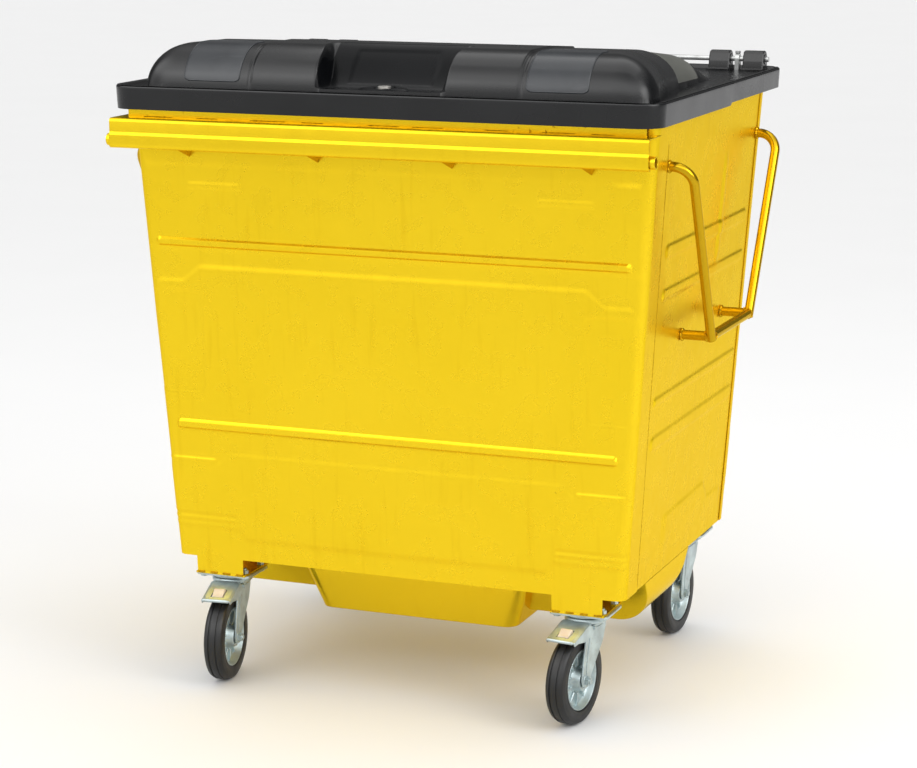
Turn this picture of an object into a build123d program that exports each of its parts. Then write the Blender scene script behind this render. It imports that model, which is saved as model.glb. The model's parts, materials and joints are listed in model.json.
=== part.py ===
from build123d import *
import os
from math import cos, pi, sin

# Four-wheeled steel waste container with a hinged plastic lid, in millimetres.
# +Z is up, the front faces -Y, left and right are as seen by a person facing the front.
# The origin is on the floor, under the middle of the overall box.

FAR = 700.0                 # beyond the body on every side, for cutting shapes
PAST = 5.0                  # how far a cutting shape passes the face it cuts
FIT_GAP = 0.2               # between pieces that are bolted or welded face to face
RUNNING_GAP = 0.05          # between a turning piece and its bore

# ---- body shell: flat sheets that taper towards the bottom ----
SHEET = 2.0                 # thickness of the pressed sheets
BODY_BOTTOM = 287.0         # lower edge of the four panels
BODY_TOP = 1330.0           # upper edge of the four panels, under the rims
REF_LOW = 306.0             # heights at which the widths below are measured
REF_HIGH = 1314.0
HALF_WIDTH_LOW = 541.0
HALF_WIDTH_HIGH = 613.0
FRONT_LOW = -387.0
FRONT_HIGH = -417.0
REAR_LOW = 381.0
REAR_HIGH = 417.0
CORNER_RADIUS = 50.0
FRONT_WRAP = 88.0           # how far the front sheet returns along each side
REAR_WRAP = 36.0
FRONT_RIBS = ((1017.0, 560.0), (598.0, 522.0))      # height, half length
FRONT_RIB_HEIGHT = 20.0
FRONT_RIB_DEPTH = 7.0
REAR_RIBS = ((1017.0, 520.0), (598.0, 490.0))
SIDE_RIBS = (1035.0, 941.0, 706.0, 612.0)
SIDE_RIB_HEIGHT = 24.0
SIDE_RIB_DEPTH = 4.0
SIDE_RIB_FROM = -255.0
SIDE_RIB_TO = 325.0

# ---- floor: flat pan, a trough across it and a deeper sump in the middle ----
FLOOR_TOP = 291.0
TROUGH_BOTTOM = 182.0
TROUGH_FRONT_HIGH = -232.0
TROUGH_FRONT_LOW = -183.0
TROUGH_REAR_HIGH = 95.0
TROUGH_REAR_LOW = -10.0
TROUGH_EDGE_RADIUS = 80.0
SUMP_BOTTOM = 157.0
SUMP_HALF_WIDTH_HIGH = 283.0
SUMP_HALF_WIDTH_LOW = 240.0
SUMP_FRONT_HIGH = -295.0
SUMP_FRONT_LOW = -257.0
SUMP_REAR_HIGH = 60.0
SUMP_REAR_LOW = 0.0
SUMP_CORNER_RADIUS = 30.0
DRAIN_Y = -130.0
DRAIN_RADIUS = 25.0
DRAIN_FLANGE_RADIUS = 38.0
DRAIN_DEPTH = 8.0           # how far the socket hangs below the sump
DRAIN_FLANGE = 4.0          # thickness of the plug's flange
PLUG_GRIP_HALF_LENGTH = 18.0
PLUG_GRIP_HALF_WIDTH = 3.0
PLUG_GRIP_DEPTH = 12.0

# ---- rims on the upper edges of the panels ----
RIM_WIDTH = 22.0
RIM_HEIGHT = 25.0
RIM_WALL = 2.0
NECK_FRONT = -450.0
NECK_HALF_LENGTH = 600.0

# ---- lifting rail for the comb of a refuse lorry ----
RAIL_FRONT = -498.0
RAIL_TOP = 1297.0
RAIL_LIP_BOTTOM = 1264.0
RAIL_SHEET = 3.0
RAIL_BEND = 5.0
RAIL_HALF_LENGTH = 621.0
LIFT_TUBE_RADIUS = 13.5
LIFT_TUBE_WALL = 3.0
LIFT_TUBE_HALF_LENGTH = 632.0
DART_X = (-470.0, -157.0, 157.0, 470.0)
DART_HALF_WIDTH = 12.0
DART_TOP = 1240.0
DART_TIP = 1212.0
DART_FRONT = -468.0

# ---- side handles ----
HANDLE_RADIUS = 10.65
HANDLE_TOP_X = 657.0
HANDLE_TOP_Z = 1223.0
HANDLE_LOW_X = 645.0
HANDLE_LOW_Z = 828.0
HANDLE_TOP_FRONT = -312.0
HANDLE_TOP_REAR = 374.0
HANDLE_LOW_FRONT = -114.0
HANDLE_LOW_REAR = 194.0
HANDLE_BEND = 46.0
HANDLE_ROOT_X = 560.0
HANDLE_WELD = 0.3           # how far the mitred corners' welds stand proud

# ---- lid ----
LID_WALL = 4.0
LID_HALF_WIDTH = 625.0
LID_FRONT = -480.0
LID_REAR = 498.0
LID_SKIRT_BOTTOM = 1320.0
LID_REAR_SKIRT_BOTTOM = 1334.0
LID_REAR_CHAMFER = 40.0
REAR_CUT_HALF_WIDTH = 500.0 # the rear skirt is shortened between the hinges
LID_DECK = 1360.0
LID_CORNER_RADIUS = 70.0
DOME_TOP = 1465.0
DOME_HALF_WIDTH = 585.0
DOME_FRONT = -436.0
DOME_MIDDLE = 60.0          # rear end of the full-width front part
DOME_PLAN_RADIUS = 130.0
DOME_EDGE_RADIUS = 84.0
DOME_TAIL_HALF_WIDTH = 528.0
DOME_TAIL_REAR = 205.0
DOME_TAIL_CREST = 110.0
DOME_TAIL_TOP = 1432.0
DOME_TAIL_RISE = 12.0       # the tail's top climbs this much towards the loaf
DOME_TAIL_OVERLAP = 200.0   # how far the tail runs forward inside the loaf
DOME_TAIL_BEVEL = 30.0
DOME_TAIL_LIP = 4.0         # height of the tail's rear edge above the deck
RECESS_HALF_WIDTH = 143.0
RECESS_FLOOR = 1372.0
RECESS_BACK_LOW = -385.0
RECESS_BACK_HIGH = -300.0
LOCK_Y = -410.0
LOCK_RADIUS = 10.0
LOCK_PLATE_RADIUS = 20.0
LOCK_PLATE_THICKNESS = 3.0
LOCK_HEAD_RADIUS = 14.0
LOCK_HEAD_TOP = 8.0         # above the recess's floor
LOCK_CAM_DROP = 16.0        # from the recess's floor to the underside of the cam
LOCK_CAM_THICKNESS = 4.0
LOCK_CAM_HALF_WIDTH = 8.0
LOCK_CAM_FRONT = -18.0      # ends of the cam, from the lock's axis
LOCK_CAM_REAR = 34.0
KEY_RADIUS = 7.0            # corners of the three-sided key socket
KEY_DEPTH = 5.0

# ---- lid hinge ----
HINGE_Y = 477.0
HINGE_Z = 1386.0
ROD_RADIUS = 6.0
ROD_HALF_LENGTH = 604.0
HINGE_ARM_X = 528.5
HINGE_ARM_WIDTH = 10.0
HINGE_BLOCKS = (487.0, 570.0)       # middles of the two blocks beside each arm
HINGE_BLOCK_LENGTH = 50.0
HINGE_BLOCK_RADIUS = 20.0
HINGE_NOTCH_WIDTH = 16.0
HINGE_NOTCH_FRONT = 461.0
ARM_HALF_DEPTH = 12.0
ARM_FOOT_LOW = 1296.0
ARM_FOOT_TOP = 1312.0
ARM_PLATE_HALF_WIDTH = 24.0
ARM_PLATE_THICKNESS = 4.0
ARM_PLATE_LOW = 1256.0
ARM_PLATE_TOP = 1324.0
ROD_SCREW_RADIUS = 3.0
ROD_SCREW_HEAD_RADIUS = 6.5
ROD_SCREW_HEAD = 6.0

# ---- casters: fixed top plate, swivelling fork, wheel, and a brake on the front pair ----
CASTER_X = 432.5
FRONT_CASTER_Y = -325.0
REAR_CASTER_Y = 385.0
REST_ANGLES = {"front_left": 8.0, "front_right": -8.0, "rear_left": 0.0, "rear_right": -3.0}
TRAIL = 55.0
TAB_HALF_WIDTH = 58.5
TAB_BOTTOM = 250.0
BRACKET_SHEET = 4.0
BRACKET_HALF_WIDTH = 62.0
BRACKET_REACH = 63.0        # from the swivel axis to the outside of the bracket's inner wall
REAR_BRACKET_END = 442.0
PLATE_LENGTH_X = 135.0
PLATE_LENGTH_Y = 110.0
PLATE_THICKNESS = 6.0
BOLT_SPACING_X = 105.0
BOLT_SPACING_Y = 80.0
BOLT_RADIUS = 5.0
BOLT_HEAD = 5.0
BOLT_END = 12.0             # length of the bolt above the bracket
HEXAGON_RADIUS = 9.0
NUT_HEIGHT = 8.0
PLATE_CORNER_RADIUS = 10.0
RACE_RADIUS = 44.0
RACE_BOTTOM = 232.5
BALL_RING_RADIUS = 33.0
BALL_RADIUS = 4.0
BALL_COUNT = 12
KINGPIN_RADIUS = 8.0
KINGPIN_HEAD_RADIUS = 14.0
KINGPIN_BOTTOM = 209.0
KINGPIN_HEAD = 6.0
CROWN_RADIUS = 46.0
CROWN_TOP = 232.0
CROWN_BOTTOM = 222.0
LEG_INNER = 27.0
LEG_THICKNESS = 3.5
LEG_FRONT = -42.0
LEG_REAR = 34.0
LEG_SHOULDER = 190.0
LEG_TAPER = 12.0            # how far the leg's front edge leans each way from LEG_FRONT
LEG_LOW_RADIUS = 19.0
WHEEL_RADIUS = 100.0
WHEEL_HALF_WIDTH = 23.0
RIM_RADIUS = 67.0
HUB_RADIUS = 22.0
HUB_HALF_WIDTH = 26.0
BEARING_RADIUS = 15.0
SLEEVE_RADIUS = 8.0
AXLE_RADIUS = 6.0
AXLE_HEXAGON_RADIUS = 10.5
AXLE_HEAD = 7.0
AXLE_NUT = 9.0
AXLE_END = 12.0             # length of the axle bolt past the fork
TYRE_SHOULDER = 9.0         # height of the tyre's sloping shoulder
GROOVE_MIDDLE = 8.0         # from the middle of the tread
GROOVE_DEPTH = 3.0
SPOKE_COUNT = 6
SPOKE_LENGTH_X = 26.0
SPOKE_THICKNESS = 6.0
WEB_HALF_THICKNESS = 3.0
RIM_THICKNESS = 6.0

# ---- brake on the front casters, placed from the swivel axis ----
PEDAL_PIVOT_Y = -26.0
PEDAL_PIVOT_Z = 213.0
PEDAL_PIN_RADIUS = 4.0
PEDAL_HALF_WIDTH = 34.5
PEDAL_SHEET = 3.0
PEDAL_REAR = -49.0
PEDAL_REAR_Z = 229.0
PEDAL_FRONT = -120.0
PEDAL_FRONT_Z = 206.0
WINDOW_FRONT = -112.0
WINDOW_REAR = -82.0
WINDOW_HALF_WIDTH = 16.0
TONGUE_HALF_WIDTH = 13.0
SHOE_RANGE_X = (17.0, 26.0)
SHOE_RANGE_Y = (-84.0, -66.0)
SHOE_BOTTOM = 206.0
LIP_RADIUS = 4.0
CROWN_GAP = 2.5             # between the pedal's flanges and the fork's crown


def between(z, low, high):
    """A length that changes evenly between the two reference heights."""
    return low + (high - low) * (z - REF_LOW) / (REF_HIGH - REF_LOW)


def half_width(z):
    return between(z, HALF_WIDTH_LOW, HALF_WIDTH_HIGH)


def front_y(z):
    return between(z, FRONT_LOW, FRONT_HIGH)


def rear_y(z):
    return between(z, REAR_LOW, REAR_HIGH)


def along_x(points, start, end):
    """A prism whose section is a polygon of (y, z) points."""
    section = Plane.YZ.offset(start) * make_face(Polyline(*points, close=True))
    return extrude(section, end - start)


def along_y(points, start, end):
    """A prism whose section is a polygon of (x, z) points."""
    section = Plane.XZ.offset(-end) * make_face(Polyline(*points, close=True))
    return extrude(section, end - start)


def along_z(points, start, end):
    """A prism whose section is a polygon of (x, y) points."""
    section = Plane.XY.offset(start) * make_face(Polyline(*points, close=True))
    return extrude(section, end - start)


def block(x_range, y_range, z_range):
    """A box given by its ranges along the three axes."""
    size = [high - low for low, high in (x_range, y_range, z_range)]
    middle = [(low + high) / 2 for low, high in (x_range, y_range, z_range)]
    return Pos(*middle) * Box(*size)


def rod_between(start, end, radius):
    """A round bar from one point to another."""
    direction = Vector(*end) - Vector(*start)
    section = Plane(origin=start, z_dir=direction) * Circle(radius)
    return extrude(section, direction.length)


def rod_x(x_start, x_end, y, z, radius):
    return rod_between((x_start, y, z), (x_end, y, z), radius)


def rod_z(x, y, z_start, z_end, radius):
    return rod_between((x, y, z_start), (x, y, z_end), radius)


# ---- body ----

def tapered_block(inset, z_low, z_high):
    """The body's outer form, or its inner form when inset by the sheet's thickness."""
    sections = []
    for z in (z_low, z_high):
        middle = (front_y(z) + rear_y(z)) / 2
        width = 2 * (half_width(z) - inset)
        depth = rear_y(z) - front_y(z) - 2 * inset
        sections.append(Pos(0, middle, z) * RectangleRounded(width, depth, CORNER_RADIUS - inset))
    return loft(sections, ruled=True)


def body_shell():
    return tapered_block(0, BODY_BOTTOM, BODY_TOP) - tapered_block(SHEET, BODY_BOTTOM - PAST, BODY_TOP + PAST)


def slab_before(line, wrap, outside):
    """Everything between an outer limit and a slanted line that follows a panel."""
    low = BODY_BOTTOM - PAST
    high = BODY_TOP + PAST
    points = [(outside, low), (line(low) + wrap, low), (line(high) + wrap, high), (outside, high)]
    return along_x(points, -FAR, FAR)


def panel_rib(line, height, half_length, depth, rib_height):
    """A pressed rib along a front or rear panel, standing out by depth."""
    half = rib_height / 2
    side = -1 if line(height) < 0 else 1
    shift = side * SHEET / 2
    points = [
        (line(height - half) - shift, height - half),
        (line(height - half / 2) + side * depth, height - half / 2),
        (line(height + half / 2) + side * depth, height + half / 2),
        (line(height + half) - shift, height + half),
    ]
    return along_x(points, -half_length, half_length)


def caster_tab(line, side, x_middle):
    """A tab of the panel that hangs down in front of a caster's bracket."""
    top = BODY_BOTTOM + PAST
    inner = -side * SHEET
    points = [
        (line(TAB_BOTTOM), TAB_BOTTOM),
        (line(top), top),
        (line(top) + inner, top),
        (line(TAB_BOTTOM) + inner, TAB_BOTTOM),
    ]
    return along_x(points, x_middle - TAB_HALF_WIDTH, x_middle + TAB_HALF_WIDTH)


def front_panel(shell):
    panel = shell & slab_before(front_y, FRONT_WRAP, -FAR)
    for height, half_length in FRONT_RIBS:
        panel += panel_rib(front_y, height, half_length, FRONT_RIB_DEPTH, FRONT_RIB_HEIGHT)
    for x in (-CASTER_X, CASTER_X):
        panel += caster_tab(front_y, -1, x)
    return panel


def rear_panel(shell):
    panel = shell & slab_before(rear_y, -REAR_WRAP, FAR)
    for height, half_length in REAR_RIBS:
        panel += panel_rib(rear_y, height, half_length, FRONT_RIB_DEPTH, FRONT_RIB_HEIGHT)
    for x in (-CASTER_X, CASTER_X):
        panel += caster_tab(rear_y, 1, x)
    return panel


def side_panel(shell, side):
    half = block((0, FAR), (-FAR, FAR), (BODY_BOTTOM - PAST, BODY_TOP + PAST))
    if side < 0:
        half = mirror(half, Plane.YZ)
    panel = (shell & half) - slab_before(front_y, FRONT_WRAP, -FAR) - slab_before(rear_y, -REAR_WRAP, FAR)
    for height in SIDE_RIBS:
        half_height = SIDE_RIB_HEIGHT / 2
        points = [
            (side * (half_width(height - half_height) - SHEET / 2), height - half_height),
            (side * (half_width(height) + SIDE_RIB_DEPTH), height),
            (side * (half_width(height + half_height) - SHEET / 2), height + half_height),
        ]
        panel += along_y(points, SIDE_RIB_FROM, SIDE_RIB_TO)
    return panel


def trough(inset):
    """The trough that hangs under the floor from one side panel to the other."""
    half = half_width(BODY_BOTTOM) - 1 - inset
    bottom = TROUGH_BOTTOM + inset
    points = [
        (TROUGH_FRONT_HIGH + inset, BODY_BOTTOM + inset),
        (TROUGH_FRONT_LOW + inset, bottom),
        (TROUGH_REAR_LOW - inset, bottom),
        (TROUGH_REAR_HIGH - inset, BODY_BOTTOM + inset),
    ]
    solid = along_x(points, -half, half)
    lower_edges = solid.edges().filter_by(Axis.Y).sort_by(Axis.Z)[:2]
    return fillet(lower_edges, TROUGH_EDGE_RADIUS - inset)


def sump(inset):
    """The deeper middle part of the floor, between the front casters."""
    sections = []
    rows = (
        (SUMP_BOTTOM + inset, SUMP_HALF_WIDTH_LOW, SUMP_FRONT_LOW, SUMP_REAR_LOW),
        (BODY_BOTTOM + inset, SUMP_HALF_WIDTH_HIGH, SUMP_FRONT_HIGH, SUMP_REAR_HIGH),
    )
    for z, half, front, rear in rows:
        size = (2 * (half - inset), rear - front - 2 * inset)
        plan = RectangleRounded(*size, SUMP_CORNER_RADIUS - inset)
        sections.append(Pos(0, (front + rear) / 2, z) * plan)
    return loft(sections, ruled=True)


def floor_pan():
    inside = tapered_block(SHEET, BODY_BOTTOM - PAST, BODY_TOP)
    slab = inside & block((-FAR, FAR), (-FAR, FAR), (BODY_BOTTOM, FLOOR_TOP))
    pan = slab + trough(0) + sump(0)
    pan -= trough(SHEET)
    pan -= sump(SHEET)
    trough_half = half_width(BODY_BOTTOM) - 1 - SHEET
    sump_half = SUMP_HALF_WIDTH_HIGH - SHEET
    above = (BODY_BOTTOM + SHEET - FIT_GAP, FLOOR_TOP + PAST)
    pan -= block((-trough_half, trough_half), (TROUGH_FRONT_HIGH + SHEET, TROUGH_REAR_HIGH - SHEET), above)
    pan -= block((-sump_half, sump_half), (SUMP_FRONT_HIGH + SHEET, SUMP_REAR_LOW), above)
    return pan - rod_z(0, DRAIN_Y, SUMP_BOTTOM - PAST, SUMP_BOTTOM + PAST, DRAIN_RADIUS + SHEET)


def drain_socket():
    ring = rod_z(0, DRAIN_Y, SUMP_BOTTOM + SHEET, SUMP_BOTTOM + 2 * SHEET, DRAIN_FLANGE_RADIUS)
    ring += rod_z(0, DRAIN_Y, SUMP_BOTTOM - DRAIN_DEPTH, SUMP_BOTTOM + SHEET, DRAIN_RADIUS + SHEET)
    return ring - rod_z(0, DRAIN_Y, SUMP_BOTTOM - DRAIN_DEPTH - PAST, SUMP_BOTTOM + 2 * PAST, DRAIN_RADIUS)


def drain_plug():
    seat = SUMP_BOTTOM - DRAIN_DEPTH
    plug = rod_z(0, DRAIN_Y, seat, SUMP_BOTTOM + 2 * SHEET, DRAIN_RADIUS - RUNNING_GAP)
    plug += rod_z(0, DRAIN_Y, seat - DRAIN_FLANGE, seat, DRAIN_FLANGE_RADIUS)
    return plug + block((-PLUG_GRIP_HALF_LENGTH, PLUG_GRIP_HALF_LENGTH),
                        (DRAIN_Y - PLUG_GRIP_HALF_WIDTH, DRAIN_Y + PLUG_GRIP_HALF_WIDTH),
                        (seat - DRAIN_FLANGE - PLUG_GRIP_DEPTH, seat))


def rim_ring(inset, z_low, z_high):
    """A U in plan, with round rear corners, that follows the two sides and the rear of the body."""
    outer = half_width(BODY_TOP) + 1 - inset
    inner = outer + 2 * inset - RIM_WIDTH
    rear = rear_y(BODY_TOP) - inset
    inner_rear = rear + 2 * inset - RIM_WIDTH
    front = front_y(BODY_TOP) - inset
    middle = (front + rear) / 2
    outer_plan = RectangleRounded(2 * outer, rear - front + 2 * CORNER_RADIUS, CORNER_RADIUS - inset)
    inner_size = (2 * inner, inner_rear - front + 4 * CORNER_RADIUS)
    inner_plan = RectangleRounded(*inner_size, CORNER_RADIUS + inset - RIM_WIDTH)
    ring = extrude(Pos(0, middle - CORNER_RADIUS, z_low) * outer_plan, z_high - z_low)
    inner_middle = inner_rear - inner_size[1] / 2
    ring -= extrude(Pos(0, inner_middle, z_low) * inner_plan, z_high - z_low)
    return ring - block((-FAR, FAR), (-FAR, front), (z_low - PAST, z_high + PAST))


def top_rim():
    """A channel, open downwards, that stiffens the top of the sides and the rear."""
    channel = rim_ring(0, BODY_TOP, BODY_TOP + RIM_HEIGHT)
    return channel - rim_ring(RIM_WALL, BODY_TOP - PAST, BODY_TOP + RIM_HEIGHT - RIM_WALL)


def front_rim():
    """The neck between the lifting rail and the lid: an angle that stands on the rail's shelf."""
    top = BODY_TOP + RIM_HEIGHT
    face = front_y(BODY_TOP) - FIT_GAP
    points = [
        (NECK_FRONT, RAIL_TOP),
        (NECK_FRONT, top),
        (face, top),
        (face, top - SHEET),
        (NECK_FRONT + SHEET, top - SHEET),
        (NECK_FRONT + SHEET, RAIL_TOP),
    ]
    return along_x(points, -NECK_HALF_LENGTH, NECK_HALF_LENGTH)


def lift_rail():
    back = front_y(RAIL_TOP) - FIT_GAP / 2
    low = RAIL_LIP_BOTTOM
    flange_end = RAIL_FRONT + LIFT_TUBE_RADIUS
    points = [
        (back, RAIL_TOP),
        (RAIL_FRONT + RAIL_BEND, RAIL_TOP),
        (RAIL_FRONT, RAIL_TOP - RAIL_BEND),
        (RAIL_FRONT, low),
        (flange_end, low),
        (flange_end, low + RAIL_SHEET),
        (RAIL_FRONT + RAIL_SHEET, low + RAIL_SHEET),
        (RAIL_FRONT + RAIL_SHEET, RAIL_TOP - RAIL_BEND - 1),
        (RAIL_FRONT + RAIL_BEND + 1, RAIL_TOP - RAIL_SHEET),
        (back, RAIL_TOP - RAIL_SHEET),
    ]
    return along_x(points, -RAIL_HALF_LENGTH, RAIL_HALF_LENGTH)


def lift_tube():
    y = RAIL_FRONT + LIFT_TUBE_RADIUS
    z = RAIL_LIP_BOTTOM - LIFT_TUBE_RADIUS
    length = LIFT_TUBE_HALF_LENGTH
    return (rod_x(-length, length, y, z, LIFT_TUBE_RADIUS)
            - rod_x(-length - PAST, length + PAST, y, z, LIFT_TUBE_RADIUS - LIFT_TUBE_WALL))


def rail_darts():
    """Small wedges between the front panel and the lifting tube."""
    darts = []
    for x in DART_X:
        points = [(x - DART_HALF_WIDTH, DART_TOP), (x + DART_HALF_WIDTH, DART_TOP), (x, DART_TIP)]
        darts.append(along_y(points, DART_FRONT, front_y(DART_TOP) - FIT_GAP / 2))
    return Compound(darts)


def side_handle(side):
    """A bent tube: two slanted legs, a lower bar and two stubs, welded to the side panel."""
    section = Circle(HANDLE_RADIUS)
    handle = None
    for top_y, low_y in ((HANDLE_TOP_FRONT, HANDLE_LOW_FRONT), (HANDLE_TOP_REAR, HANDLE_LOW_REAR)):
        root = (HANDLE_ROOT_X, top_y, HANDLE_TOP_Z)
        corner = (HANDLE_TOP_X, top_y, HANDLE_TOP_Z)
        foot = (HANDLE_LOW_X, low_y, HANDLE_LOW_Z)
        path = FilletPolyline(root, corner, foot, radius=HANDLE_BEND)
        leg = sweep(Plane(origin=root, z_dir=(1, 0, 0)) * section, path=path)
        leg += Pos(*foot) * Sphere(HANDLE_RADIUS + HANDLE_WELD)
        leg += rod_between((HANDLE_ROOT_X, low_y, HANDLE_LOW_Z), foot, HANDLE_RADIUS)
        handle = leg if handle is None else handle + leg
    handle += rod_between((HANDLE_LOW_X, HANDLE_LOW_FRONT, HANDLE_LOW_Z),
                          (HANDLE_LOW_X, HANDLE_LOW_REAR, HANDLE_LOW_Z), HANDLE_RADIUS)
    handle -= tapered_block(0, BODY_BOTTOM, BODY_TOP)
    return handle if side > 0 else mirror(handle, Plane.YZ)


# ---- lid and hinge ----

def lid_plan(inset, z_low, z_high):
    width = 2 * (LID_HALF_WIDTH - inset)
    depth = LID_REAR - LID_FRONT - 2 * inset
    plan = RectangleRounded(width, depth, LID_CORNER_RADIUS - inset)
    return extrude(Pos(0, (LID_FRONT + LID_REAR) / 2, z_low) * plan, z_high - z_low)


def dome(inset):
    """The raised part of the lid: a rounded front loaf and a lower, narrower tail."""
    base = LID_DECK - LID_WALL - 1
    size = (2 * (DOME_HALF_WIDTH - inset), DOME_MIDDLE - DOME_FRONT - 2 * inset)
    plan = RectangleRounded(*size, DOME_PLAN_RADIUS - inset)
    loaf = extrude(Pos(0, (DOME_FRONT + DOME_MIDDLE) / 2, base) * plan, DOME_TOP - inset - base)
    upper_edges = loaf.faces().sort_by(Axis.Z)[-1].edges()
    loaf = fillet(upper_edges, DOME_EDGE_RADIUS - inset)
    half = DOME_TAIL_HALF_WIDTH - inset
    tail_front = DOME_MIDDLE - DOME_TAIL_OVERLAP
    tail_points = [
        (tail_front, base),
        (DOME_TAIL_REAR - inset, base),
        (DOME_TAIL_REAR - inset, LID_DECK + DOME_TAIL_LIP),
        (DOME_TAIL_CREST - inset, DOME_TAIL_TOP - inset),
        (tail_front, DOME_TAIL_TOP + DOME_TAIL_RISE - inset),
    ]
    tail = along_x(tail_points, -half, half)
    upper_sides = tail.edges().filter_by(lambda edge: abs(edge.center().X) > half - 1
                                         and edge.center().Z > LID_DECK + 2 * DOME_TAIL_LIP
                                         and abs(edge.center().Y - tail_front) > 1)
    tail = chamfer(upper_sides, DOME_TAIL_BEVEL)
    return loaf + tail


def recess(margin):
    """The hollow in the middle of the dome's front, where the lock sits."""
    half = RECESS_HALF_WIDTH + margin
    floor = RECESS_FLOOR - margin
    points = [
        (LID_FRONT, floor),
        (RECESS_BACK_LOW + margin, floor),
        (RECESS_BACK_HIGH + margin, DOME_TOP + 2 * PAST),
        (LID_FRONT, DOME_TOP + 2 * PAST),
    ]
    return along_x(points, -half, half)


def lid_shell():
    outer = lid_plan(0, LID_SKIRT_BOTTOM, LID_DECK) + (dome(0) - recess(0))
    inner = lid_plan(LID_WALL, LID_SKIRT_BOTTOM - PAST, LID_DECK - LID_WALL)
    inner += dome(LID_WALL) - recess(LID_WALL)
    lid = outer - inner
    rear = LID_REAR + PAST
    chamfer_points = [
        (LID_REAR - LID_REAR_CHAMFER, LID_SKIRT_BOTTOM - 1),
        (LID_REAR, LID_REAR_SKIRT_BOTTOM),
        (rear, LID_REAR_SKIRT_BOTTOM),
        (rear, LID_SKIRT_BOTTOM - 1),
    ]
    lid -= along_x(chamfer_points, -FAR, FAR)
    lid -= block((-REAR_CUT_HALF_WIDTH, REAR_CUT_HALF_WIDTH), (LID_REAR - LID_WALL - 1, rear),
                 (LID_SKIRT_BOTTOM - 1, LID_REAR_SKIRT_BOTTOM))
    for side in (-1, 1):
        x = side * HINGE_ARM_X
        half = HINGE_NOTCH_WIDTH / 2
        lid -= block((x - half, x + half), (HINGE_NOTCH_FRONT, rear),
                     (LID_SKIRT_BOTTOM - PAST, LID_DECK + PAST))
    return lid - rod_z(0, LOCK_Y, RECESS_FLOOR - 2 * PAST, RECESS_FLOOR + PAST, LOCK_RADIUS)


def lock_plate():
    plate = rod_z(0, LOCK_Y, RECESS_FLOOR, RECESS_FLOOR + LOCK_PLATE_THICKNESS, LOCK_PLATE_RADIUS)
    return plate - rod_z(0, LOCK_Y, RECESS_FLOOR - PAST, RECESS_FLOOR + PAST, LOCK_RADIUS)


def lock_barrel():
    """The turning barrel with its cam under the lid; a key socket is sunk in its head."""
    top = RECESS_FLOOR + LOCK_HEAD_TOP
    low = RECESS_FLOOR - LOCK_CAM_DROP
    barrel = rod_z(0, LOCK_Y, low, top, LOCK_RADIUS - RUNNING_GAP)
    barrel += rod_z(0, LOCK_Y, RECESS_FLOOR + LOCK_PLATE_THICKNESS + RUNNING_GAP, top, LOCK_HEAD_RADIUS)
    barrel += block((-LOCK_CAM_HALF_WIDTH, LOCK_CAM_HALF_WIDTH),
                    (LOCK_Y + LOCK_CAM_FRONT, LOCK_Y + LOCK_CAM_REAR), (low, low + LOCK_CAM_THICKNESS))
    socket = extrude(Pos(0, LOCK_Y, top - KEY_DEPTH) * RegularPolygon(KEY_RADIUS, 3), KEY_DEPTH + PAST)
    return barrel - socket


def hinge_blocks(side):
    """The pair of moulded bearing blocks on the lid, one each side of an arm."""
    blocks = []
    for middle in HINGE_BLOCKS:
        x_low = side * middle - HINGE_BLOCK_LENGTH / 2
        x_high = side * middle + HINGE_BLOCK_LENGTH / 2
        body = rod_x(x_low, x_high, HINGE_Y, HINGE_Z, HINGE_BLOCK_RADIUS)
        body += block((x_low, x_high), (HINGE_Y - HINGE_BLOCK_RADIUS, HINGE_Y + HINGE_BLOCK_RADIUS),
                      (LID_DECK, HINGE_Z))
        body -= rod_x(x_low - PAST, x_high + PAST, HINGE_Y, HINGE_Z, ROD_RADIUS + RUNNING_GAP)
        blocks.append(body)
    return Compound(blocks)


def hinge_rod():
    return rod_x(-ROD_HALF_LENGTH, ROD_HALF_LENGTH, HINGE_Y, HINGE_Z, ROD_RADIUS)


def hinge_arm(side):
    """A steel arm from the rear panel up to the hinge rod."""
    x = side * HINGE_ARM_X
    half = HINGE_ARM_WIDTH / 2
    wall = rear_y(ARM_PLATE_TOP) + FIT_GAP
    front = HINGE_Y - ARM_HALF_DEPTH
    rear = HINGE_Y + ARM_HALF_DEPTH
    points = [
        (wall, ARM_FOOT_LOW),
        (rear, ARM_FOOT_LOW),
        (rear, HINGE_Z),
        (front, HINGE_Z),
        (front, ARM_FOOT_TOP),
        (wall, ARM_FOOT_TOP),
    ]
    arm = along_x(points, x - half, x + half)
    arm += rod_x(x - half, x + half, HINGE_Y, HINGE_Z, ARM_HALF_DEPTH)
    arm += block((x - ARM_PLATE_HALF_WIDTH, x + ARM_PLATE_HALF_WIDTH), (wall, wall + ARM_PLATE_THICKNESS),
                 (ARM_PLATE_LOW, ARM_PLATE_TOP))
    arm -= rod_x(x - half - PAST, x + half + PAST, HINGE_Y, HINGE_Z, ROD_RADIUS)
    return arm - rod_z(x, HINGE_Y, HINGE_Z, HINGE_Z + ARM_HALF_DEPTH + PAST, ROD_SCREW_RADIUS)


def rod_screws():
    """Screws that clamp the hinge rod in its two arms."""
    screws = []
    for side in (-1, 1):
        x = side * HINGE_ARM_X
        low = HINGE_Z + ROD_RADIUS + FIT_GAP
        head = HINGE_Z + ARM_HALF_DEPTH + 2 * FIT_GAP
        screw = rod_z(x, HINGE_Y, low, head + ROD_SCREW_HEAD, ROD_SCREW_RADIUS)
        screw += extrude(Pos(x, HINGE_Y, head) * RegularPolygon(ROD_SCREW_HEAD_RADIUS, 6), ROD_SCREW_HEAD)
        screws.append(screw)
    return Compound(screws)


# ---- casters, each modelled round its swivel axis and then put in place ----

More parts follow.
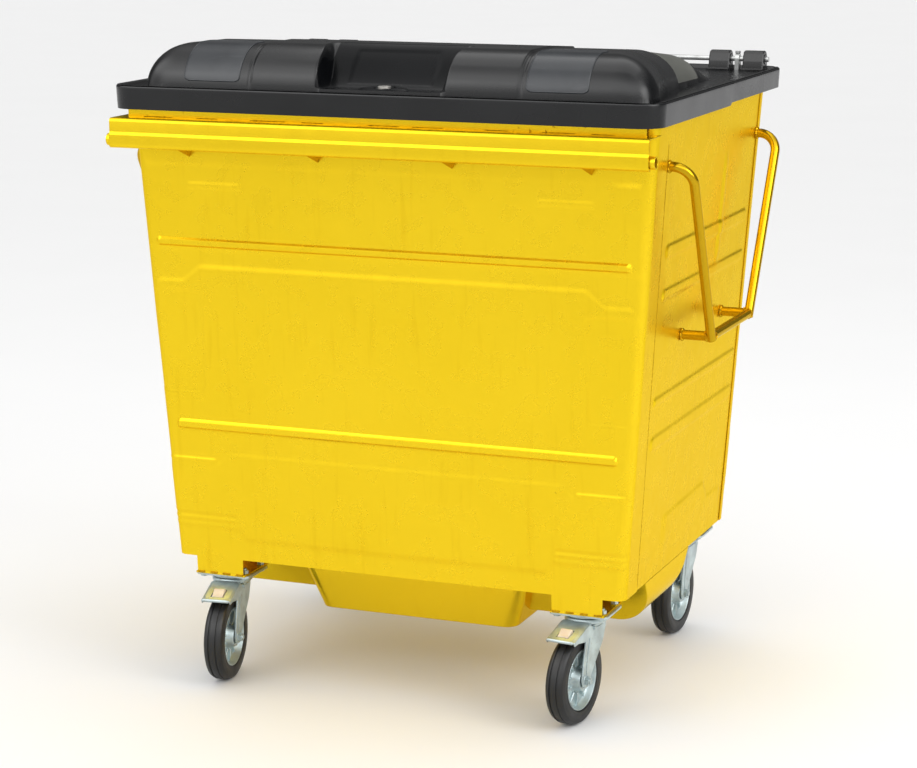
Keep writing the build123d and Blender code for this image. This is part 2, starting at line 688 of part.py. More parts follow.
def caster_places():
    return {
        "front_left": (-CASTER_X, FRONT_CASTER_Y),
        "front_right": (CASTER_X, FRONT_CASTER_Y),
        "rear_left": (-CASTER_X, REAR_CASTER_Y),
        "rear_right": (CASTER_X, REAR_CASTER_Y),
    }


def bolt_places():
    places = []
    for x in (-BOLT_SPACING_X / 2, BOLT_SPACING_X / 2):
        for y in (-BOLT_SPACING_Y / 2, BOLT_SPACING_Y / 2):
            places.append((x, y))
    return places


def caster_bracket(x, y):
    """A folded strip under the floor that carries a caster's plate."""
    low = TAB_BOTTOM - BRACKET_SHEET
    if y < 0:
        inner = y + BRACKET_REACH
        wall = inner - BRACKET_SHEET
        edge = front_y(low)
        points = [
            (edge, low), (inner, low), (inner, BODY_BOTTOM),
            (wall, BODY_BOTTOM), (wall, TAB_BOTTOM), (edge, TAB_BOTTOM),
        ]
    else:
        inner = y - BRACKET_REACH
        wall = inner + BRACKET_SHEET
        edge = rear_y(BODY_BOTTOM) + FIT_GAP
        end = REAR_BRACKET_END
        points = [
            (inner, low), (end, low), (end, BODY_BOTTOM), (edge, BODY_BOTTOM),
            (edge, BODY_BOTTOM - BRACKET_SHEET), (end - BRACKET_SHEET, BODY_BOTTOM - BRACKET_SHEET),
            (end - BRACKET_SHEET, TAB_BOTTOM), (wall, TAB_BOTTOM), (wall, BODY_BOTTOM), (inner, BODY_BOTTOM),
        ]
    bracket = along_x(points, x - BRACKET_HALF_WIDTH, x + BRACKET_HALF_WIDTH)
    for dx, dy in bolt_places():
        bracket -= rod_z(x + dx, y + dy, low - PAST, TAB_BOTTOM + PAST, BOLT_RADIUS)
    return bracket


def caster_plate():
    """The bolted top plate with its ball race and kingpin, riveted into one piece."""
    top = TAB_BOTTOM - BRACKET_SHEET
    low = top - PLATE_THICKNESS
    plate = Pos(0, 0, (low + top) / 2) * Box(PLATE_LENGTH_X, PLATE_LENGTH_Y, PLATE_THICKNESS)
    plate = fillet(plate.edges().filter_by(Axis.Z), PLATE_CORNER_RADIUS)
    plate += rod_z(0, 0, RACE_BOTTOM, low, RACE_RADIUS)
    plate += rod_z(0, 0, KINGPIN_BOTTOM, low, KINGPIN_RADIUS)
    plate += rod_z(0, 0, KINGPIN_BOTTOM, KINGPIN_BOTTOM + KINGPIN_HEAD, KINGPIN_HEAD_RADIUS)
    plate -= Pos(0, 0, RACE_BOTTOM) * Torus(BALL_RING_RADIUS, BALL_RADIUS)
    for dx, dy in bolt_places():
        plate -= rod_z(dx, dy, low - PAST, top + PAST, BOLT_RADIUS)
    return plate


def swivel_balls():
    """The balls that carry the four forks, between each plate and its fork's crown."""
    balls = []
    for x, y in caster_places().values():
        for number in range(BALL_COUNT):
            angle = 2 * pi * number / BALL_COUNT
            place = (x + BALL_RING_RADIUS * cos(angle), y + BALL_RING_RADIUS * sin(angle), RACE_BOTTOM)
            balls.append(Pos(*place) * Sphere(BALL_RADIUS - RUNNING_GAP))
    return Compound(balls)


def caster_bolts():
    bolts = []
    for x, y in caster_places().values():
        for dx, dy in bolt_places():
            head_low = TAB_BOTTOM - BRACKET_SHEET - PLATE_THICKNESS - BOLT_HEAD
            bolt = rod_z(x + dx, y + dy, head_low, TAB_BOTTOM + BOLT_END, BOLT_RADIUS)
            bolt += extrude(Pos(x + dx, y + dy, head_low) * RegularPolygon(HEXAGON_RADIUS, 6), BOLT_HEAD)
            bolts.append(bolt)
    return Compound(bolts)


def caster_nuts():
    nuts = []
    for x, y in caster_places().values():
        for dx, dy in bolt_places():
            nut = extrude(Pos(x + dx, y + dy, TAB_BOTTOM) * RegularPolygon(HEXAGON_RADIUS, 6), NUT_HEIGHT)
            nuts.append(nut - rod_z(x + dx, y + dy, TAB_BOTTOM - PAST, TAB_BOTTOM + BOLT_END, BOLT_RADIUS))
    return Compound(nuts)


def fork(braked):
    """The swivelling fork: a crown on the kingpin and two legs down to the axle."""
    body = rod_z(0, 0, CROWN_BOTTOM, CROWN_TOP, CROWN_RADIUS)
    leg_points = [
        (LEG_FRONT + LEG_TAPER, CROWN_TOP - LEG_THICKNESS),
        (LEG_REAR, CROWN_TOP - LEG_THICKNESS),
        (LEG_REAR, LEG_SHOULDER),
        (LEG_LOW_RADIUS - 1 - TRAIL, WHEEL_RADIUS),
        (1 - LEG_LOW_RADIUS - TRAIL, WHEEL_RADIUS),
        (LEG_FRONT - LEG_TAPER, LEG_SHOULDER),
    ]
    for side in (-1, 1):
        x_low, x_high = sorted((side * LEG_INNER, side * (LEG_INNER + LEG_THICKNESS)))
        body += along_x(leg_points, x_low, x_high)
        body += rod_x(x_low, x_high, -TRAIL, WHEEL_RADIUS, LEG_LOW_RADIUS)
    body -= rod_z(0, 0, CROWN_BOTTOM - PAST, CROWN_TOP + PAST, KINGPIN_RADIUS + RUNNING_GAP)
    body -= Pos(0, 0, RACE_BOTTOM) * Torus(BALL_RING_RADIUS, BALL_RADIUS)
    body -= rod_x(-CROWN_RADIUS, CROWN_RADIUS, -TRAIL, WHEEL_RADIUS, AXLE_RADIUS)
    if braked:
        body -= rod_x(-CROWN_RADIUS, CROWN_RADIUS, PEDAL_PIVOT_Y, PEDAL_PIVOT_Z, PEDAL_PIN_RADIUS)
    return body


def hexagon_x(x, length):
    """A six-sided head or nut on the axle, starting at x."""
    plane = Plane(origin=(x, -TRAIL, WHEEL_RADIUS), z_dir=(1, 0, 0))
    return extrude(plane * RegularPolygon(AXLE_HEXAGON_RADIUS, 6), length)


def axle_bolt():
    """The axle bolt with its spacer sleeve and nut."""
    outer = LEG_INNER + LEG_THICKNESS
    bolt = rod_x(-outer - AXLE_HEAD, outer + AXLE_END, -TRAIL, WHEEL_RADIUS, AXLE_RADIUS)
    bolt += hexagon_x(-outer - AXLE_HEAD, AXLE_HEAD)
    sleeve = rod_x(-LEG_INNER, LEG_INNER, -TRAIL, WHEEL_RADIUS, SLEEVE_RADIUS)
    sleeve -= rod_x(-LEG_INNER - PAST, LEG_INNER + PAST, -TRAIL, WHEEL_RADIUS, AXLE_RADIUS)
    nut = hexagon_x(outer, AXLE_NUT) - rod_x(0, outer + AXLE_END, -TRAIL, WHEEL_RADIUS, AXLE_RADIUS)
    return Compound([bolt, sleeve, nut])


def wheel_disc(points):
    """A wheel part turned about the axle from (radius, offset) points."""
    turned = revolve(make_face(Polyline(*points, close=True)), Axis.Y, 360)
    return Pos(0, -TRAIL, WHEEL_RADIUS) * Rot(0, 0, -90) * turned


def tyre():
    """A solid rubber tyre with two grooves round its tread."""
    half = WHEEL_HALF_WIDTH
    edge = WHEEL_RADIUS - TYRE_SHOULDER
    groove = WHEEL_RADIUS - GROOVE_DEPTH
    right_side = [
        (WHEEL_RADIUS, GROOVE_MIDDLE - 2), (groove, GROOVE_MIDDLE - 1), (groove, GROOVE_MIDDLE + 1),
        (WHEEL_RADIUS, GROOVE_MIDDLE + 2), (WHEEL_RADIUS - 2, half - 8), (edge, half - 1),
        (RIM_RADIUS + 8, half), (RIM_RADIUS, half - 4),
    ]
    left_side = [(radius, -offset) for radius, offset in reversed(right_side)]
    return wheel_disc(left_side + right_side)


def wheel_rim():
    """The rim with its web and hub, and raised spokes on the web."""
    half = WHEEL_HALF_WIDTH - 4
    inside = RIM_RADIUS - RIM_THICKNESS
    right_side = [
        (RIM_RADIUS, half), (inside, half), (inside, WEB_HALF_THICKNESS), (HUB_RADIUS, WEB_HALF_THICKNESS),
        (HUB_RADIUS, HUB_HALF_WIDTH), (BEARING_RADIUS, HUB_HALF_WIDTH),
    ]
    left_side = [(radius, -offset) for radius, offset in reversed(right_side)]
    rim = wheel_disc(left_side + right_side)
    for number in range(SPOKE_COUNT):
        length = inside - HUB_RADIUS + RIM_THICKNESS / 2
        spoke = Pos(0, 0, (HUB_RADIUS + inside) / 2) * Box(SPOKE_LENGTH_X, SPOKE_THICKNESS, length)
        rim += Pos(0, -TRAIL, WHEEL_RADIUS) * Rot(360 * number / SPOKE_COUNT, 0, 0) * spoke
    return rim


def wheel_bearing():
    half = HUB_HALF_WIDTH
    return (rod_x(-half, half, -TRAIL, WHEEL_RADIUS, BEARING_RADIUS)
            - rod_x(-half - PAST, half + PAST, -TRAIL, WHEEL_RADIUS, SLEEVE_RADIUS + RUNNING_GAP))


def pedal_line(y):
    """Height of the pedal's top surface at a distance in front of the swivel axis."""
    slope = (PEDAL_REAR_Z - PEDAL_FRONT_Z) / (PEDAL_REAR - PEDAL_FRONT)
    return PEDAL_FRONT_Z + slope * (y - PEDAL_FRONT)


def pivot_bore():
    radius = PEDAL_PIN_RADIUS + RUNNING_GAP
    return rod_x(-CROWN_RADIUS, CROWN_RADIUS, PEDAL_PIVOT_Y, PEDAL_PIVOT_Z, radius)


def brake_pedal():
    """A sloping hood hung on its pin by two side flanges, with a rolled lip and two brake shoes."""
    half = PEDAL_HALF_WIDTH
    top_points = [
        (PEDAL_REAR, PEDAL_REAR_Z),
        (PEDAL_FRONT, PEDAL_FRONT_Z),
        (PEDAL_FRONT, PEDAL_FRONT_Z - PEDAL_SHEET),
        (PEDAL_REAR, PEDAL_REAR_Z - PEDAL_SHEET),
    ]
    pedal = along_x(top_points, -half, half)
    pedal += rod_x(-half, half, PEDAL_FRONT, PEDAL_FRONT_Z - LIP_RADIUS, LIP_RADIUS)
    flange_points = [
        (PEDAL_REAR, PEDAL_REAR_Z),
        (PEDAL_FRONT, PEDAL_FRONT_Z),
        (PEDAL_FRONT + 4, PEDAL_FRONT_Z - 12),
        (PEDAL_REAR - 12, PEDAL_FRONT_Z - 16),
        (PEDAL_PIVOT_Y + 8, PEDAL_PIVOT_Z - 8),
        (PEDAL_PIVOT_Y + 8, CROWN_BOTTOM - CROWN_GAP),
        (PEDAL_PIVOT_Y - 10, CROWN_BOTTOM - CROWN_GAP),
    ]
    for side in (-1, 1):
        x_low, x_high = sorted((side * (half - PEDAL_SHEET), side * half))
        pedal += along_x(flange_points, x_low, x_high)
        shoe_x = sorted((side * SHOE_RANGE_X[0], side * SHOE_RANGE_X[1]))
        pedal += block(shoe_x, SHOE_RANGE_Y, (SHOE_BOTTOM, pedal_line(SHOE_RANGE_Y[0]) - 1))
    pedal -= block((-WINDOW_HALF_WIDTH, WINDOW_HALF_WIDTH), (WINDOW_FRONT, WINDOW_REAR),
                   (PEDAL_FRONT_Z - 2 * PAST, PEDAL_REAR_Z + 2 * PAST))
    return pedal - pivot_bore()


def pedal_pin():
    half = PEDAL_HALF_WIDTH + 3
    return rod_x(-half, half, PEDAL_PIVOT_Y, PEDAL_PIVOT_Z, PEDAL_PIN_RADIUS)


def release_tongue():
    """A small lever on the same pin that shows in the pedal's window."""
    front = WINDOW_FRONT + 2
    rear = WINDOW_REAR - 2
    drop = PEDAL_SHEET + 1.5
    points = [
        (PEDAL_PIVOT_Y, PEDAL_PIVOT_Z + 2),
        (PEDAL_REAR, CROWN_BOTTOM - 6),
        (rear, pedal_line(rear) - drop),
        (rear, pedal_line(rear) + 3),
        (front, pedal_line(front) + 3),
        (front, pedal_line(front) - drop),
        (rear, pedal_line(rear) - drop - 4),
        (PEDAL_REAR, CROWN_BOTTOM - 11),
        (PEDAL_PIVOT_Y, PEDAL_PIVOT_Z - 4),
    ]
    half = TONGUE_HALF_WIDTH
    tongue = along_x(points, -half, half)
    tongue += rod_x(-half, half, PEDAL_PIVOT_Y, PEDAL_PIVOT_Z, PEDAL_PIN_RADIUS + 0.9)
    return tongue - pivot_bore()


def write(name, shape):
    export_step(shape, f"parts/{name}.step")


def main():
    os.makedirs("parts", exist_ok=True)
    shell = body_shell()
    write("front_panel", front_panel(shell))
    write("rear_panel", rear_panel(shell))
    write("left_side_panel", side_panel(shell, -1))
    write("right_side_panel", side_panel(shell, 1))
    write("floor_pan", floor_pan())
    write("drain_socket", drain_socket())
    write("drain_plug", drain_plug())
    write("top_rim", top_rim())
    write("front_rim", front_rim())
    write("lift_rail", lift_rail())
    write("lift_tube", lift_tube())
    write("rail_darts", rail_darts())
    write("left_handle", side_handle(-1))
    write("right_handle", side_handle(1))
    write("lid_shell", lid_shell())
    write("lock_plate", lock_plate())
    write("lock_barrel", lock_barrel())
    write("left_hinge_blocks", hinge_blocks(-1))
    write("right_hinge_blocks", hinge_blocks(1))
    write("hinge_rod", hinge_rod())
    write("left_hinge_arm", hinge_arm(-1))
    write("right_hinge_arm", hinge_arm(1))
    write("rod_screws", rod_screws())
    write("swivel_balls", swivel_balls())
    write("caster_bolts", caster_bolts())
    write("caster_nuts", caster_nuts())
    for name, (x, y) in caster_places().items():
        braked = y < 0
        turned = Pos(x, y, 0) * Rot(0, 0, REST_ANGLES[name])
        write(f"{name}_bracket", caster_bracket(x, y))
        write(f"{name}_plate", Pos(x, y, 0) * caster_plate())
        write(f"{name}_fork", turned * fork(braked))
        write(f"{name}_axle", turned * axle_bolt())
        write(f"{name}_tyre", turned * tyre())
        write(f"{name}_wheel_rim", turned * wheel_rim())
        write(f"{name}_bearing", turned * wheel_bearing())
        if braked:
            write(f"{name}_pedal", turned * brake_pedal())
            write(f"{name}_pedal_pin", turned * pedal_pin())
            write(f"{name}_tongue", turned * release_tongue())


main()
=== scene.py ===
import json
import math

import bpy
import numpy as np
from mathutils import Matrix, Vector

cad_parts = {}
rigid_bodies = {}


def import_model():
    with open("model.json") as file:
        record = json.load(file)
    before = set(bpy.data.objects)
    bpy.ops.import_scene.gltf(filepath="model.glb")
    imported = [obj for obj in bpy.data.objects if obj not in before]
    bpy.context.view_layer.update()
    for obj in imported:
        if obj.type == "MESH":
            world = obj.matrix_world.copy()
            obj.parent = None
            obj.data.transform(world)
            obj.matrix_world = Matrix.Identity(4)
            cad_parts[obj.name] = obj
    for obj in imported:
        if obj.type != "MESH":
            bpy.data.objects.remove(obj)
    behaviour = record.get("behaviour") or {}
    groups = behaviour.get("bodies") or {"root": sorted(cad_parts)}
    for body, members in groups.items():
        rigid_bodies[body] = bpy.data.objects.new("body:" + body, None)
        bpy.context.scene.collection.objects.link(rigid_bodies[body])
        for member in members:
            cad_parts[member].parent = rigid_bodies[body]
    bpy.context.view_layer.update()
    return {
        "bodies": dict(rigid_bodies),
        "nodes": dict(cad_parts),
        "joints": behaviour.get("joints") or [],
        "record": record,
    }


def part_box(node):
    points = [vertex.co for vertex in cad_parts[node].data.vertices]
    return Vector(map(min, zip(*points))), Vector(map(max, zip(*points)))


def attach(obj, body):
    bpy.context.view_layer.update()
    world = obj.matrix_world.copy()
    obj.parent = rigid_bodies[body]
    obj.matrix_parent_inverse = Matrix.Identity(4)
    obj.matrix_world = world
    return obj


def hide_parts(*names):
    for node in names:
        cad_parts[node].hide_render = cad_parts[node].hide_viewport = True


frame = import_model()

# A yellow steel waste container on casters. Everything is in metres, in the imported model's own frame.

# ---- camera ----
CAMERA_PLACE = (2.1652, -5.3458, 1.8694)
CAMERA_HEADING = 21.69
CAMERA_PITCH = 11.56
CAMERA_ROLL = -0.15
CAMERA_LENS = 98.99
CAMERA_SHIFT = (-0.0159, -0.0181)

# Brightness of the room that polished surfaces mirror, from the horizon to straight up.
ROOM_BEHIND = ((0.0, 0.03), (0.50, 0.04), (0.72, 0.15), (0.84, 0.26), (1.0, 0.20))
ROOM_BEFORE = ((0.0, 0.26), (0.15, 0.28), (0.35, 0.36), (0.50, 0.72), (0.72, 0.72), (0.86, 0.38), (1.0, 0.20))

# ---- body sheets ----
SHEET = 0.002
CORNER = 0.024              # radius of the body's upright corners
FRONT_WRAP = 0.088          # how far the front sheet reaches round onto each side
REAR_WRAP = 0.036           # the same for the rear sheet
SEAM_STEP = 0.0015          # how far the side sheets sit behind the wrapped front and rear sheets
CELL = 0.004                # spacing of the sheets' mesh
SLOPE = 0.014               # width of the pressed steps
DENT_WAVES = 7              # waves that make up the sheets' unevenness
DENT = 0.0007               # height of that unevenness
INNER_HALF = 0.500          # the sheets' mesh columns stand upright this far from the middle
TAB_BOTTOM = 0.250          # lower edge of the foot tabs
TAB_SIDES = (0.3745, 0.4905)  # the foot tabs' two sides, from the middle
TAB_STEP = 0.0005           # width of the mesh column at each side of a tab
SKIRT = 0.030               # height of the lowest strip of the sheets, which the tabs draw down

# ---- lid ----
DOME_FRONT = -0.438         # where the lid's dome starts
RECESS_HALF = 0.143         # half of the width of the recess in the dome
RECESS_BACK = -0.287        # where the recess ends

# ---- where the side handles bend ----
HANDLE_RADIUS = 0.01065
HANDLE_TOP = (0.657, 1.223)          # distance from the middle and height of the upper bends
HANDLE_LOW = (0.645, 0.828)
HANDLE_TOP_Y = (-0.312, 0.374)
HANDLE_LOW_Y = (-0.114, 0.194)
HANDLE_BEND = 0.044

# ---- brake hood and its window, as (y, z) or as y, from the swivel axis ----
PEDAL_HALF = 0.0345
PEDAL_REAR = (-0.049, 0.229)
PEDAL_FRONT = (-0.120, 0.206)
PEDAL_SHEET = 0.0028
WINDOW = (-0.112, -0.082)
WINDOW_HALF = 0.0155
TONGUE_HALF = 0.0128

HANDS = {-1: "left", 1: "right"}

joints = {joint["name"]: joint for joint in frame["joints"]}


# ---------------------------------------------------------------- mesh helpers

def smooth(value, start, end):
    """0 before start, 1 after end, and an even S-curve between them."""
    t = np.clip((np.asarray(value, float) - start) / (end - start), 0, 1)
    return t * t * (3 - 2 * t)


def add_piece(name, parts, material, body, replaces=(), sharp=35.0):
    """One mesh object from (points, faces) pairs, smooth below an angle in degrees."""
    points, faces = join_meshes(parts)
    mesh = bpy.data.meshes.new(name)
    mesh.from_pydata(points.tolist(), [], faces)
    mesh.validate()
    mesh.materials.append(material)
    for polygon in mesh.polygons:
        polygon.use_smooth = True
    mesh.set_sharp_from_angle(angle=math.radians(sharp))
    piece = bpy.data.objects.new(name, mesh)
    bpy.context.scene.collection.objects.link(piece)
    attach(piece, body)
    if replaces:
        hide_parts(*replaces)


def grid_faces(rows, columns, offset=0, closed=False):
    """Quads of a grid of points; closed joins the last column to the first."""
    index = np.arange(rows * columns).reshape(rows, columns) + offset
    right = np.roll(index, -1, axis=1)
    last = columns if closed else columns - 1
    quads = np.stack([index[:-1, :last], right[:-1, :last], right[1:, :last], index[1:, :last]], axis=-1)
    return quads.reshape(-1, 4).tolist()


def unit(vectors):
    """Vectors of length 1, along the last axis."""
    return vectors / np.maximum(np.linalg.norm(vectors, axis=-1, keepdims=True), 1e-12)


def grid_of(x, y, z):
    """A (rows, columns, 3) grid of points from coordinates that broadcast together."""
    return np.stack(np.broadcast_arrays(x, y, z), axis=-1).astype(float)


def grid_normals(points):
    """A unit normal at each point of a (rows, columns, 3) grid."""
    return unit(np.cross(np.gradient(points, axis=1), np.gradient(points, axis=0)))


def border_of(grid):
    """What a grid holds along its border, in turn."""
    return np.concatenate([grid[0, :], grid[1:, -1], grid[-1, -2::-1], grid[-2:0:-1, 0]])


def sheet_mesh(points, thickness):
    """A closed sheet: the given outer surface, its inner copy and the strips round its border."""
    rows, columns = points.shape[:2]
    count = rows * columns
    inner = points - grid_normals(points) * thickness
    faces = grid_faces(rows, columns)
    faces += [face[::-1] for face in grid_faces(rows, columns, count)]
    border = border_of(np.arange(count).reshape(rows, columns)).tolist()
    for start, end in zip(border, border[1:] + border[:1]):
        faces.append([end, start, start + count, end + count])
    return np.concatenate([points.reshape(-1, 3), inner.reshape(-1, 3)]), faces


def join_meshes(parts):
    """One list of points and faces from several (points, faces) pairs."""
    points = []
    faces = []
    for part_points, part_faces in parts:
        offset = sum(len(p) for p in points)
        points.append(np.asarray(part_points, float).reshape(-1, 3))
        faces += [[i + offset for i in face] for face in part_faces]
    return np.concatenate(points), faces


def tube_mesh(path, radius, sides=24):
    """A round bar that follows a list of points; radius is one number or one for each point."""
    path = np.asarray(path, float)
    tangents = unit(np.gradient(path, axis=0))
    helper = np.array((0.0, 0.0, 1.0)) if abs(tangents[0][2]) < 0.9 else np.array((0.0, 1.0, 0.0))
    across = np.cross(tangents[0], helper)
    rings = []
    turn = np.linspace(0, 2 * np.pi, sides, endpoint=False)
    for place, tangent, size in zip(path, tangents, np.broadcast_to(radius, len(path))):
        across = unit(across - tangent * np.dot(across, tangent))
        other = np.cross(tangent, across)
        rings.append(place + size * (np.outer(np.cos(turn), across) + np.outer(np.sin(turn), other)))
    faces = grid_faces(len(path), sides, closed=True)
    faces.append(list(range(sides))[::-1])
    faces.append([(len(path) - 1) * sides + i for i in range(sides)])
    return np.concatenate(rings), faces


def lathe_mesh(profile, centre=(0, 0, 0), sides=72, upright=False):
    """A ring turned from a closed outline of (radius, distance along the axis) points.

    The axis is x, or z where upright."""
    angles = np.linspace(0, 2 * np.pi, sides, endpoint=False)
    circle = np.cos(angles), np.sin(angles)
    rings = [np.stack([np.full(sides, x), r * circle[0], r * circle[1]], axis=1) for r, x in profile]
    points = np.concatenate(rings)
    faces = [[i % len(points) for i in face] for face in grid_faces(len(rings) + 1, sides, closed=True)]
    if upright:
        points = points[:, (1, 2, 0)]
    return points + np.array(centre), faces


def rectangle(low_x, low_y, high_x, high_y):
    """The four corners of a rectangle, in turn."""
    return [(low_x, low_y), (high_x, low_y), (high_x, high_y), (low_x, high_y)]


def corner_arc(previous, corner, following, radius, steps, limit=math.inf):
    """The arc that rounds a corner; limit is the share of a side that it may take up."""
    before = previous - corner
    after = following - corner
    shorter = min(np.linalg.norm(before), np.linalg.norm(after))
    before = unit(before)
    after = unit(after)
    half = math.acos(float(np.clip(np.dot(before, after), -1, 1))) / 2
    if radius <= 0 or half > 1.55 or half <= 0.01:
        return [corner]
    reach = min(radius / math.tan(half), limit * shorter)
    centre = corner + unit(before + after) * reach / math.cos(half)
    start = corner + before * reach - centre
    end = corner + after * reach - centre
    total = math.pi - 2 * half
    arc = []
    for step in range(steps + 1):
        turn = total * step / steps
        arc.append(centre + (math.sin(total - turn) * start + math.sin(turn) * end) / math.sin(total))
    return arc


def round_corners(points, radii, steps=6):
    """A closed outline with each corner replaced by an arc of its own radius."""
    points = [np.asarray(p, float) for p in points]
    following = points[1:] + points[:1]
    previous = points[-1:] + points[:-1]
    radii = np.broadcast_to(radii, len(points))
    outline = []
    for before, corner, after, radius in zip(previous, points, following, radii):
        outline += corner_arc(before, corner, after, radius, steps, 0.49)
    return np.array(outline)


def arc_path(points, radius, steps=10):
    """An open path with each inner corner rounded."""
    points = [np.asarray(p, float) for p in points]
    path = [points[0]]
    for before, corner, after in zip(points, points[1:], points[2:]):
        path += corner_arc(before, corner, after, radius, steps)
    return np.array(path + [points[-1]])


def prism_mesh(outline, low, high, axis, bevel):
    """A prism of an outline across the x or the z axis, with its rims chamfered."""
    following = np.roll(outline, -1, axis=0)
    area = np.sum(outline[:, 0] * following[:, 1] - following[:, 0] * outline[:, 1])
    sense = 1 if area > 0 else -1
    after = unit(following - outline)
    along = after + np.roll(after, 1, axis=0)
    inward = unit(np.stack([-along[:, 1], along[:, 0]], axis=1) * sense)
    count = len(outline)
    rings = []
    for height, inset in ((low, bevel), (low + bevel, 0), (high - bevel, 0), (high, bevel)):
        flat = outline + inward * inset
        column = np.full((count, 1), height)
        rings.append(np.concatenate([column, flat] if axis == "x" else [flat, column], axis=1))
    faces = grid_faces(len(rings), count, closed=True)
    faces.append(list(range(count))[::-1])
    faces.append([(len(rings) - 1) * count + i for i in range(count)])
    if sense < 0:
        faces = [face[::-1] for face in faces]
    return np.concatenate(rings), faces


def box_mesh(low, high, bevel):
    """A box with chamfered rims."""
    outline = round_corners(rectangle(low[0], low[1], high[0], high[1]), bevel, 2)
    return prism_mesh(outline, low[2], high[2], "z", bevel)


def turned_about_z(points, centre, angle):
    """Points turned about an upright axis and moved to its place."""
    c, s = math.cos(angle), math.sin(angle)
    points = np.asarray(points, float)
    turned = points.copy()
    turned[:, 0] = c * points[:, 0] - s * points[:, 1] + centre[0]
    turned[:, 1] = s * points[:, 0] + c * points[:, 1] + centre[1]
    return turned


def spread(limits, spacing):
    """Even positions through a list of limits, each limit included."""
    places = [limits[0]]
    for start, end in zip(limits, limits[1:]):
        steps = max(1, int(round(abs(end - start) / spacing)))
        places += [start + (end - start) * step / steps for step in range(1, steps + 1)]
    return np.array(places)


# ---------------------------------------------------------------- materials

class Nodes:
    """Short ways to add nodes to a tree; a value may be a plain one or a socket to link."""

    def __init__(self, tree):
        """Start from a tree and the coordinates that its textures read."""
        self.tree = tree
        self.place = self.add("ShaderNodeTexCoord").outputs

    def set(self, socket, value):
        """Link a socket, or set its plain value."""
        if isinstance(value, bpy.types.NodeSocket):
            self.tree.links.new(value, socket)
        else:
            socket.default_value = value

    def surface(self, name, value):
        """Set one input of the material's shader."""
        self.set(self.tree.nodes["Principled BSDF"].inputs[name], value)

    def add(self, kind, **values):
        """A new node, with its properties and its named inputs set."""
        node = self.tree.nodes.new(kind)
        for key, value in values.items():
            if hasattr(node, key):
                setattr(node, key, value)
            else:
                self.set(node.inputs[key], value)
        return node

    def noise(self, scale, detail=3.0, stretch=(1, 1, 1)):
        """A noise texture in the object's own coordinates, stretched along the axes."""
        place = self.add("ShaderNodeMapping", Scale=stretch, Vector=self.place["Object"]).outputs["Vector"]
        return self.add("ShaderNodeTexNoise", Scale=scale, Detail=detail, Vector=place).outputs["Fac"]

    def ramp(self, source, *stops):
        """A grey ramp from (position, value) stops."""
        node = self.add("ShaderNodeValToRGB", Fac=source)
        elements = node.color_ramp.elements
        while len(elements) < len(stops):
            elements.new(0.5)
        for element, (position, value) in zip(elements, stops):
            element.position = position
            element.color = (value, value, value, 1)
        return node.outputs["Color"]

    def mix(self, factor, first, second, blend="MIX"):
        """Two colours mixed by a factor."""
        node = self.add("ShaderNodeMix", data_type="RGBA", blend_type=blend)
        for number, value in ((0, factor), (6, first), (7, second)):
            self.set(node.inputs[number], (*value, 1) if isinstance(value, tuple) else value)
        return node.outputs[2]

    def maths(self, operation, first, second=0.0):
        """The result of a maths node."""
        node = self.add("ShaderNodeMath", operation=operation)
        self.set(node.inputs[0], first)
        self.set(node.inputs[1], second)
        return node.outputs[0]

    def rounded(self, radius):
        """The surface's normal with its edges rounded."""
        return self.add("ShaderNodeBevel", samples=4, Radius=radius).outputs["Normal"]

    def edge_mask(self, radius):
        """1 on edges and 0 on flats, from how far a rounded normal leans from the real one."""
        dot = self.add("ShaderNodeVectorMath", operation="DOT_PRODUCT")
        self.set(dot.inputs[0], self.rounded(radius))
        self.set(dot.inputs[1], self.add("ShaderNodeNewGeometry").outputs["Normal"])
        return self.ramp(dot.outputs["Value"], (0.80, 1.0), (0.985, 0.0))

    def bumps(self, layers, bevel_radius=0.0):
        """Bump from (height, strength, distance) layers, over rounded edges where asked."""
        under = {"Normal": self.rounded(bevel_radius)} if bevel_radius else {}
        for height, strength, distance in layers:
            bump = self.add("ShaderNodeBump", Height=height, Strength=strength, Distance=distance, **under)
            under = {"Normal": bump.outputs["Normal"]}
        self.surface("Normal", under["Normal"])


def new_material(name):
    """A node material, and the helper that adds nodes to it."""
    material = bpy.data.materials.new(name)
    material.use_nodes = True
    return material, Nodes(material.node_tree)


